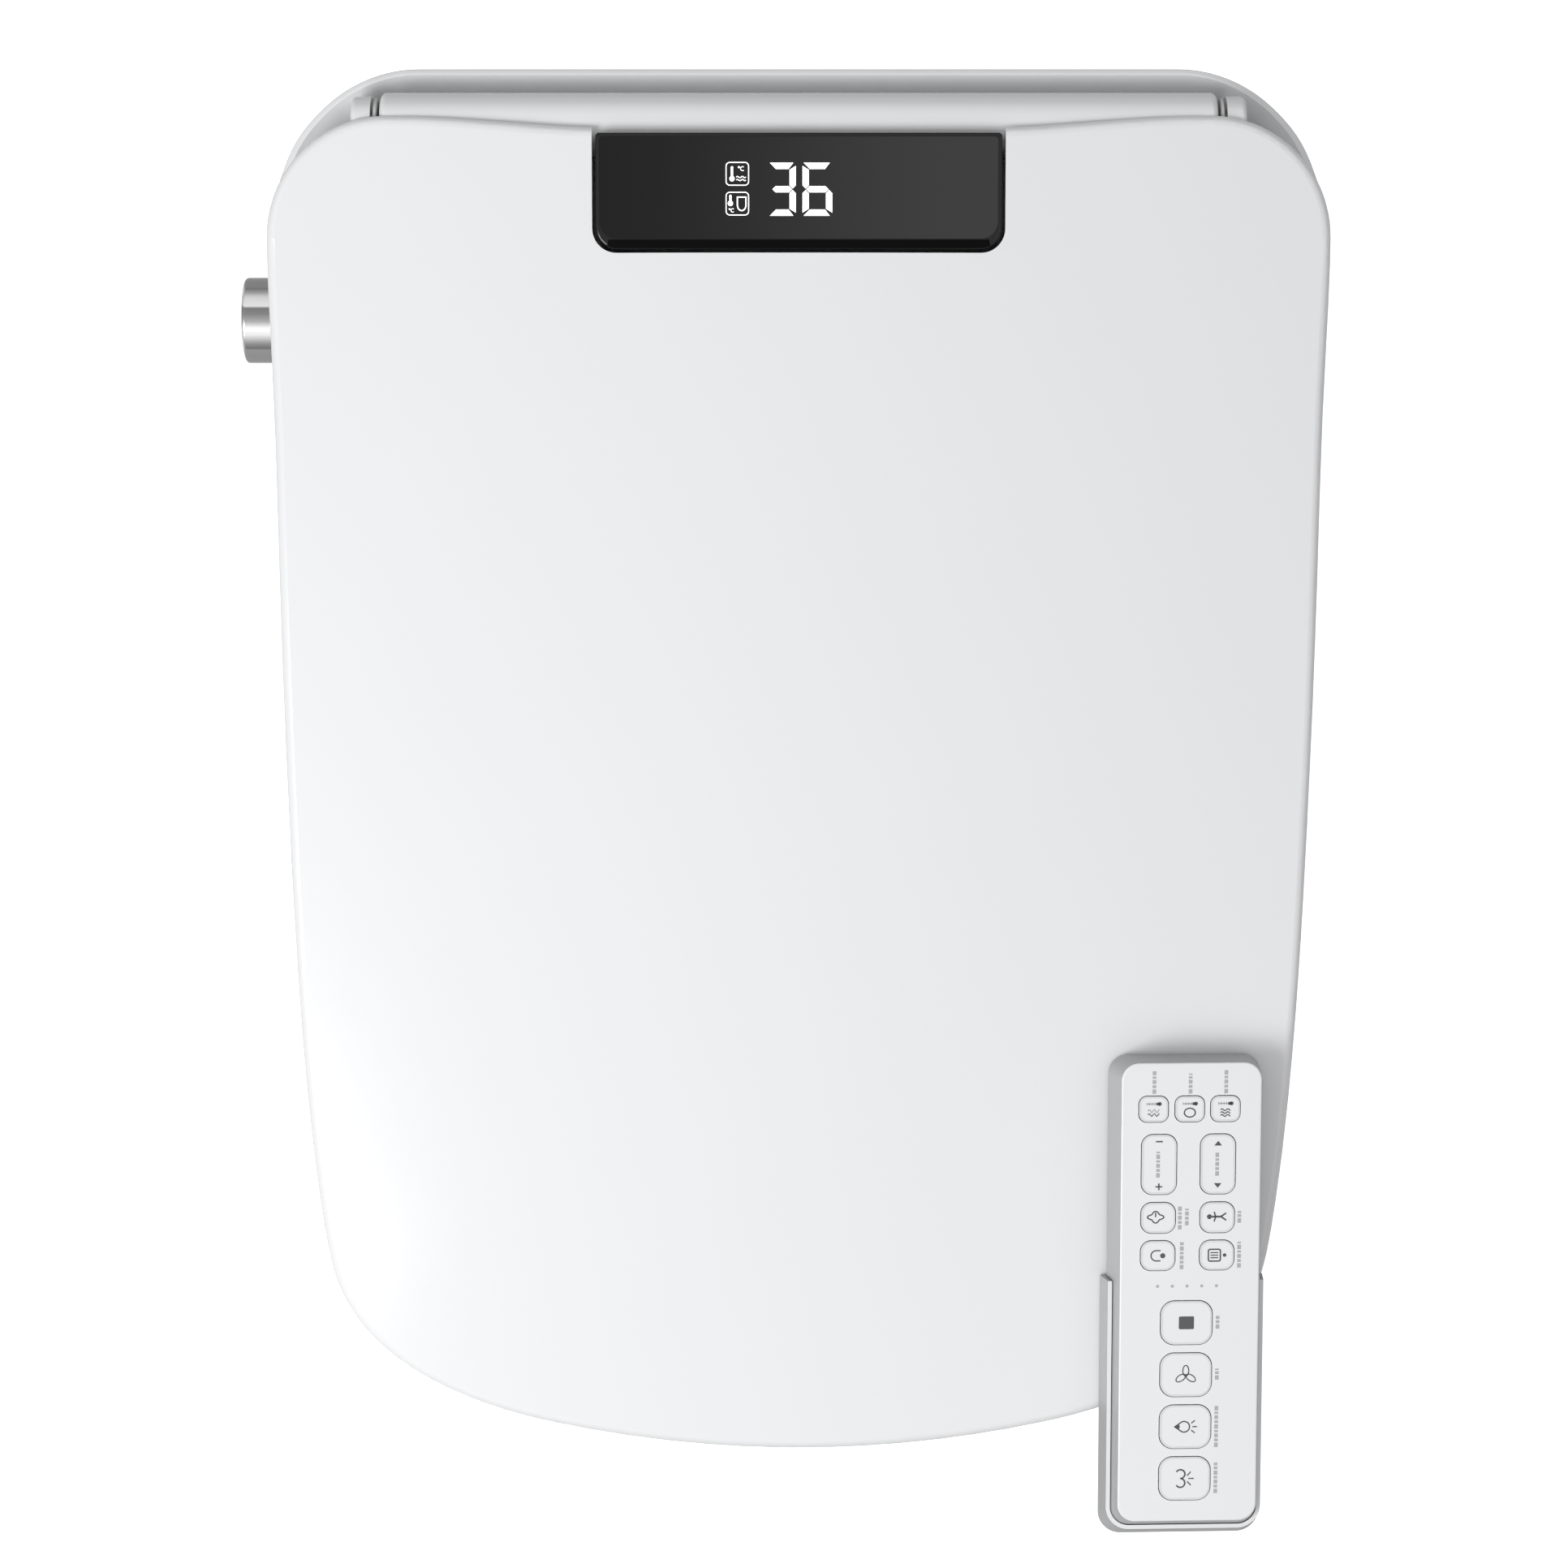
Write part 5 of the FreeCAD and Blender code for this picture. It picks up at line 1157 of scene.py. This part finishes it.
class BIDET_OT_electrics(bpy.types.Operator):
    """Finishes the boards, the cord gland and the night light, and fits small components"""

    bl_idname = "bidet.electrics"
    bl_label = "Electrics"

    def execute(self, context):
        for node in ("control_board", "power_board", "set_board"):
            paint(node, "circuit board")
        paint("power_gland", "dark moulding")
        paint("night_light", "night lens")
        paint("set_cells", "bright steel")
        for node in ("control_board", "power_board"):
            self.parts_on(node)
        self.lens_ribs()
        return {"FINISHED"}

    def parts_on(self, node):
        """Rows of chips and upright cans on a board."""
        low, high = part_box(node)
        top = low.z + 1.6 * MM
        chips = []
        for i in range(5):
            x = low.x + (6 + 9 * i) * MM
            for y, long, wide, tall in ((low.y + 3 * MM, 5, 5, 1.4), (high.y - 8 * MM, 3, 3, 1.0)):
                near = (x, y, top - 0.1 * MM)
                far = (x + long * MM, y + wide * MM, top + tall * MM)
                chips.append((near, far))
        bevelled(f"{node}_chips", chips, 0.2 * MM, node, "dark moulding")
        can = [(-0.1, 0.05), (7, 0.05), (7, 2.3), (6.5, 2.7), (1.5, 2.7), (1.1, 2.4), (0.8, 2.7), (-0.1, 2.7)]
        for number, share in enumerate((0.35, 0.5), start=1):
            at = Vector((high.x - 6 * MM, low.y + (high.y - low.y) * share, top))
            turned(f"{node}_can_{number}", can, at, (0, 0, 1), node, "bright steel", segments=32)

    def lens_ribs(self):
        """Upright ribs across the night light's lens."""
        low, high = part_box("night_light")
        ribs = []
        count = 11
        for i in range(count):
            x = low.x + (high.x - low.x) * (i + 0.5) / count
            near = (x - 0.4 * MM, low.y - 0.3 * MM, low.z + 0.5 * MM)
            far = (x + 0.4 * MM, low.y + 0.6 * MM, high.z - 0.5 * MM)
            ribs.append((near, far))
        bevelled("lens_ribs", ribs, 0.2 * MM, "night_light", "night lens")


class BIDET_OT_underside(bpy.types.Operator):
    """Finishes the fixing bracket, its release button, the feet and the screws"""

    bl_idname = "bidet.underside"
    bl_label = "Underside"

    def execute(self, context):
        paint("mount_bracket", "grey moulding")
        paint("release_button", "grey moulding")
        paint("base_feet", "soft grey")
        paint("case_screws", "bright steel")
        low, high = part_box("release_button")
        centre = (low + high) / 2
        radius = (high.z - low.z) / 2
        grips = []
        for i in range(5):
            z = centre.z + (i - 2) * 1.9 * MM
            reach = math.sqrt(max(0.0, (radius * 0.8) ** 2 - (z - centre.z) ** 2))
            near = (high.x - 0.3 * MM, centre.y - reach, z - 0.35 * MM)
            far = (high.x + 0.35 * MM, centre.y + reach, z + 0.35 * MM)
            grips.append((near, far))
        bevelled("button_grips", grips, 0.2 * MM, "release_button", "grey moulding")
        self.serrations()
        return {"FINISHED"}

    def serrations(self):
        """Fine teeth on the bracket round its bolt slots, which stop the bolts from creeping."""
        low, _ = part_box("mount_bracket")
        top = low.z + 4 * MM
        teeth = []
        for side in (-1, 1):
            for row in (-1, 1):
                for i in range(12):
                    x = side * 77.5 * MM + (i - 5.5) * 2.2 * MM
                    y = row * 7.6 * MM
                    near = (x - 0.5 * MM, y - 2 * MM, top - 0.1 * MM)
                    far = (x + 0.5 * MM, y + 2 * MM, top + 0.35 * MM)
                    teeth.append((near, far))
        bevelled("slot_teeth", teeth, 0.12 * MM, "mount_bracket", "grey moulding")


def dashes(drawing, x, low, high, width=1.4):
    """A line of print reduced to plain dashes, running along the handset."""
    y = low
    lengths = (1.7, 1.1, 1.5, 0.9)
    i = 0
    while y < high - 0.4:
        length = min(lengths[i % len(lengths)], high - y)
        drawing.block(x, y + length / 2, width, length)
        y += length + 0.5
        i += 1


def rays(drawing, x, y, start, end, count, inner, outer, width):
    """Short lines that spread out from (x, y)."""
    for a in angles(start, end, count - 1):
        way = Vector((math.cos(a), math.sin(a)))
        drawing.line([(x + way.x * reach, y + way.y * reach) for reach in (inner, outer)], width)


def sign_thermometer(dark, pale):
    for i in range(4):
        pale.line([(-2.6 + 1.0 * i, 1.5), (-2.6 + 1.0 * i, 2.6)], 0.3)
    pale.line([(-2.6, 2.05), (1.0, 2.05)], 0.45)
    dark.line([(1.0, 2.05), (2.3, 2.05)], 1.1)
    dark.disc(2.3, 2.05, 0.75, 14)


def sign_water_warmth(dark, pale):
    sign_thermometer(dark, pale)
    pale.line([(-2.2 + 0.34 * i, -0.7 + 0.6 * math.sin(i * 1.1)) for i in range(14)], 0.4)
    dark.line([(-2.2 + 0.34 * i, -2.2 + 0.5 * math.sin(i * 1.1)) for i in range(14)], 0.35)


def sign_ring_warmth(dark, pale):
    sign_thermometer(dark, pale)
    dark.line(arc(0, -1.4, 2.1, 0, 360, 24, 0.82)[:-1], 0.5, closed=True)


def sign_air_warmth(dark, pale):
    sign_thermometer(dark, pale)
    for low in (-0.4, -1.5, -2.6):
        dark.line([(-1.9 + 0.34 * i, low + 0.35 * math.sin(i * 0.95)) for i in range(12)], 0.42)


def sign_pressure(dark, pale):
    dark.line([(-1.3, 8.9), (1.3, 8.9)], 0.55)
    dark.line([(-1.3, -8.6), (1.3, -8.6)], 0.55)
    dark.line([(0, -9.9), (0, -7.3)], 0.55)
    dashes(pale, -0.4, -5.0, 5.0)


def sign_position(dark, pale):
    """Triangles up and down, with a line of print between them."""
    dark.polygon([(-1.45, 7.2), (1.45, 7.2), (0, 9.0)])
    dark.polygon([(-1.45, -7.4), (0, -9.2), (1.45, -7.4)])
    dashes(pale, -0.3, -4.5, 4.5)


def sign_power(dark, pale):
    lobes = []
    for a in angles(0, 360, 40)[:-1]:
        wave = math.cos(4 * a)
        lobes.append(((2.6 + 0.55 * wave) * math.cos(a), (1.85 + 0.4 * wave) * math.sin(a)))
    dark.line(moved(lobes, -1.0, 0.3), 0.5, closed=True)
    dark.line([(-1.0, 0.3), (-1.0, 2.0)], 0.5)


def sign_kids(dark, pale):
    dark.disc(-3.0, 0.3, 0.95, 16)
    dark.line([(-2.0, 0.3), (1.4, 0.3)], 0.75)
    dark.line([(1.4, 0.3), (3.4, 1.7)], 0.6)
    dark.line([(1.4, 0.3), (3.4, -1.1)], 0.6)
    dark.line([(-1.2, 2.2), (-0.6, 0.3), (-1.2, -1.6)], 0.55)


def sign_lamp(dark, pale):
    dark.line(arc(-0.6, 0, 2.0, 90, 270, 16) + [(1.0, -2.0)], 0.5)
    dark.line([(-0.6, 2.0), (1.0, 2.0)], 0.5)
    dark.disc(1.9, 0, 1.0, 18)


def sign_auto(dark, pale):
    dark.line(round_rectangle(4.6, 4.6, 0.7, -0.9, 0), 0.55, closed=True)
    for y in (-1.0, 0.0, 1.0):
        dark.line([(-2.4, y), (0.6, y)], 0.42)
    dark.disc(3.0, 0, 0.7, 14)


def sign_stop(dark, pale):
    dark.polygon(round_rectangle(5.8, 5.0, 0.5))


def sign_dry(dark, pale):
    for turn, x, y in ((90, 0.0, 1.6), (215, -1.9, -1.2), (325, 1.9, -1.2)):
        petal = [(2.1 * math.cos(a), 1.15 * math.sin(a)) for a in angles(0, 360, 26)[:-1]]
        dark.line(moved(petal, x, y, turn), 0.42, closed=True)


def sign_front_wash(dark, pale):
    dark.line(arc(-0.4, 0, 2.1, -125, 125, 20) + [(-4.0, 0.0)], 0.5, closed=True)
    dark.polygon([(-4.2, 0.0), (-2.4, 1.0), (-2.0, 0.0), (-2.4, -1.0)])
    rays(dark, 0.6, 0, -38, 38, 3, 2.2, 4.0, 0.45)


def sign_rear_wash(dark, pale):
    dark.line(arc(-1.6, 1.75, 1.75, 150, -90, 14) + arc(-1.6, -1.75, 1.75, 90, -150, 14), 0.6)
    rays(dark, 0.0, 0, -48, 48, 3, 1.5, 3.6, 0.45)


# corner radius of each key, its sign, and the columns of dashes beside it: (x, low, high)
KEYS = {
    "water_warmth": (3.0, sign_water_warmth, [(0.2, 5.9, 14.6)]),
    "ring_warmth": (3.0, sign_ring_warmth, [(0.2, 5.9, 13.6)]),
    "air_warmth": (3.0, sign_air_warmth, [(0.2, 5.9, 15.2)]),
    "pressure": (4.2, sign_pressure, []),
    "position": (4.2, sign_position, []),
    "power": (4.0, sign_power, [(8.3, -4.6, 4.4), (11.0, -3.0, 3.4)]),
    "kids": (4.0, sign_kids, [(8.5, -2.2, 2.3)]),
    "lamp": (4.0, sign_lamp, [(9.2, -5.4, 5.4)]),
    "auto": (4.0, sign_auto, [(8.6, -5.0, 5.0)]),
    "stop": (5.2, sign_stop, [(12.0, -2.5, 2.5)]),
    "dry": (5.2, sign_dry, [(12.0, -2.1, 2.2)]),
    "front_wash": (5.2, sign_front_wash, [(12.0, -8.2, 8.2)]),
    "rear_wash": (5.2, sign_rear_wash, [(12.0, -6.0, 6.0)]),
}


class BIDET_OT_handset(bpy.types.Operator):
    """Finishes the handset and its holder, prints the keys and paints the shade in the gap round each key"""

    bl_idname = "bidet.handset"
    bl_label = "Handset"

    def execute(self, context):
        for node in ("set_front", "set_back"):
            paint(node, "handset white")
        paint("set_holder", "holder white")
        paint("battery_door", "handset white")
        paint("set_lights", "mark ink")
        face, _, _ = handset_plane("set_front")
        notes = Drawing(face)
        for name, (radius, sign, columns) in KEYS.items():
            self.key(name, radius, sign)
            plane, _, _ = handset_plane(f"key_{name}")
            shift = plane.origin - face.origin
            x, y = shift.dot(face.across) / MM, shift.dot(face.along) / MM
            for column, low, high in columns:
                dashes(notes, x + column, y + low, y + high)
        high = sizes().print_height
        printed("set_notes", notes, high, "set_front", "mark ink", smooth=False)
        return {"FINISHED"}

    def key(self, name, radius, sign):
        """The painted shade line in the gap round one key, and the sign on it."""
        node = f"key_{name}"
        paint(node, "key white")
        plane, width, depth = handset_plane(node)
        line = sizes().gap_shade_width / MM
        high = sizes().print_height
        # Painted shade: a grey line just inside the key's edge, standing in for the shade in the gap round
        # it.
        gap_shade = Drawing(plane)
        gap_shade.line(round_rectangle(width - line, depth - line, radius - line / 2), line, closed=True)
        printed(f"{node}_gap_shade", gap_shade, high, node, "key gap shade", smooth=False)
        dark, pale = Drawing(plane), Drawing(plane)
        sign(dark, pale)
        printed(f"{node}_sign", dark, high, node, "sign ink", smooth=False)
        if pale.faces:
            printed(f"{node}_note", pale, high, node, "mark ink", smooth=False)


OPERATORS = (
    BIDET_OT_shells,
    BIDET_OT_display,
    BIDET_OT_knob,
    BIDET_OT_hinge,
    BIDET_OT_wands,
    BIDET_OT_dryer,
    BIDET_OT_water,
    BIDET_OT_electrics,
    BIDET_OT_underside,
    BIDET_OT_handset,
    BIDET_OT_stage,
)


class BIDET_PT_panel(bpy.types.Panel):
    """Lists the settings and the pieces of the bidet seat"""

    bl_idname = "BIDET_PT_panel"
    bl_label = "Bidet Seat"
    bl_space_type = "VIEW_3D"
    bl_region_type = "UI"
    bl_category = "Bidet Seat"

    def draw(self, context):
        column = self.layout.column()
        for settings in (colours(), sizes()):
            for name in settings.__annotations__:
                column.prop(settings, name)
        for operator in OPERATORS:
            column.operator(operator.bl_idname)


CLASSES = (BidetColours, BidetSizes, *OPERATORS, BIDET_PT_panel)


def register():
    for made in CLASSES:
        bpy.utils.register_class(made)
    bpy.types.Scene.bidet_colours = PointerProperty(type=BidetColours)
    bpy.types.Scene.bidet_sizes = PointerProperty(type=BidetSizes)


def unregister():
    del bpy.types.Scene.bidet_sizes
    del bpy.types.Scene.bidet_colours
    for made in reversed(CLASSES):
        bpy.utils.unregister_class(made)


def main():
    register()
    for operator in OPERATORS:
        category, name = operator.bl_idname.split(".")
        getattr(getattr(bpy.ops, category), name)()


if __name__ == "__main__":
    main()
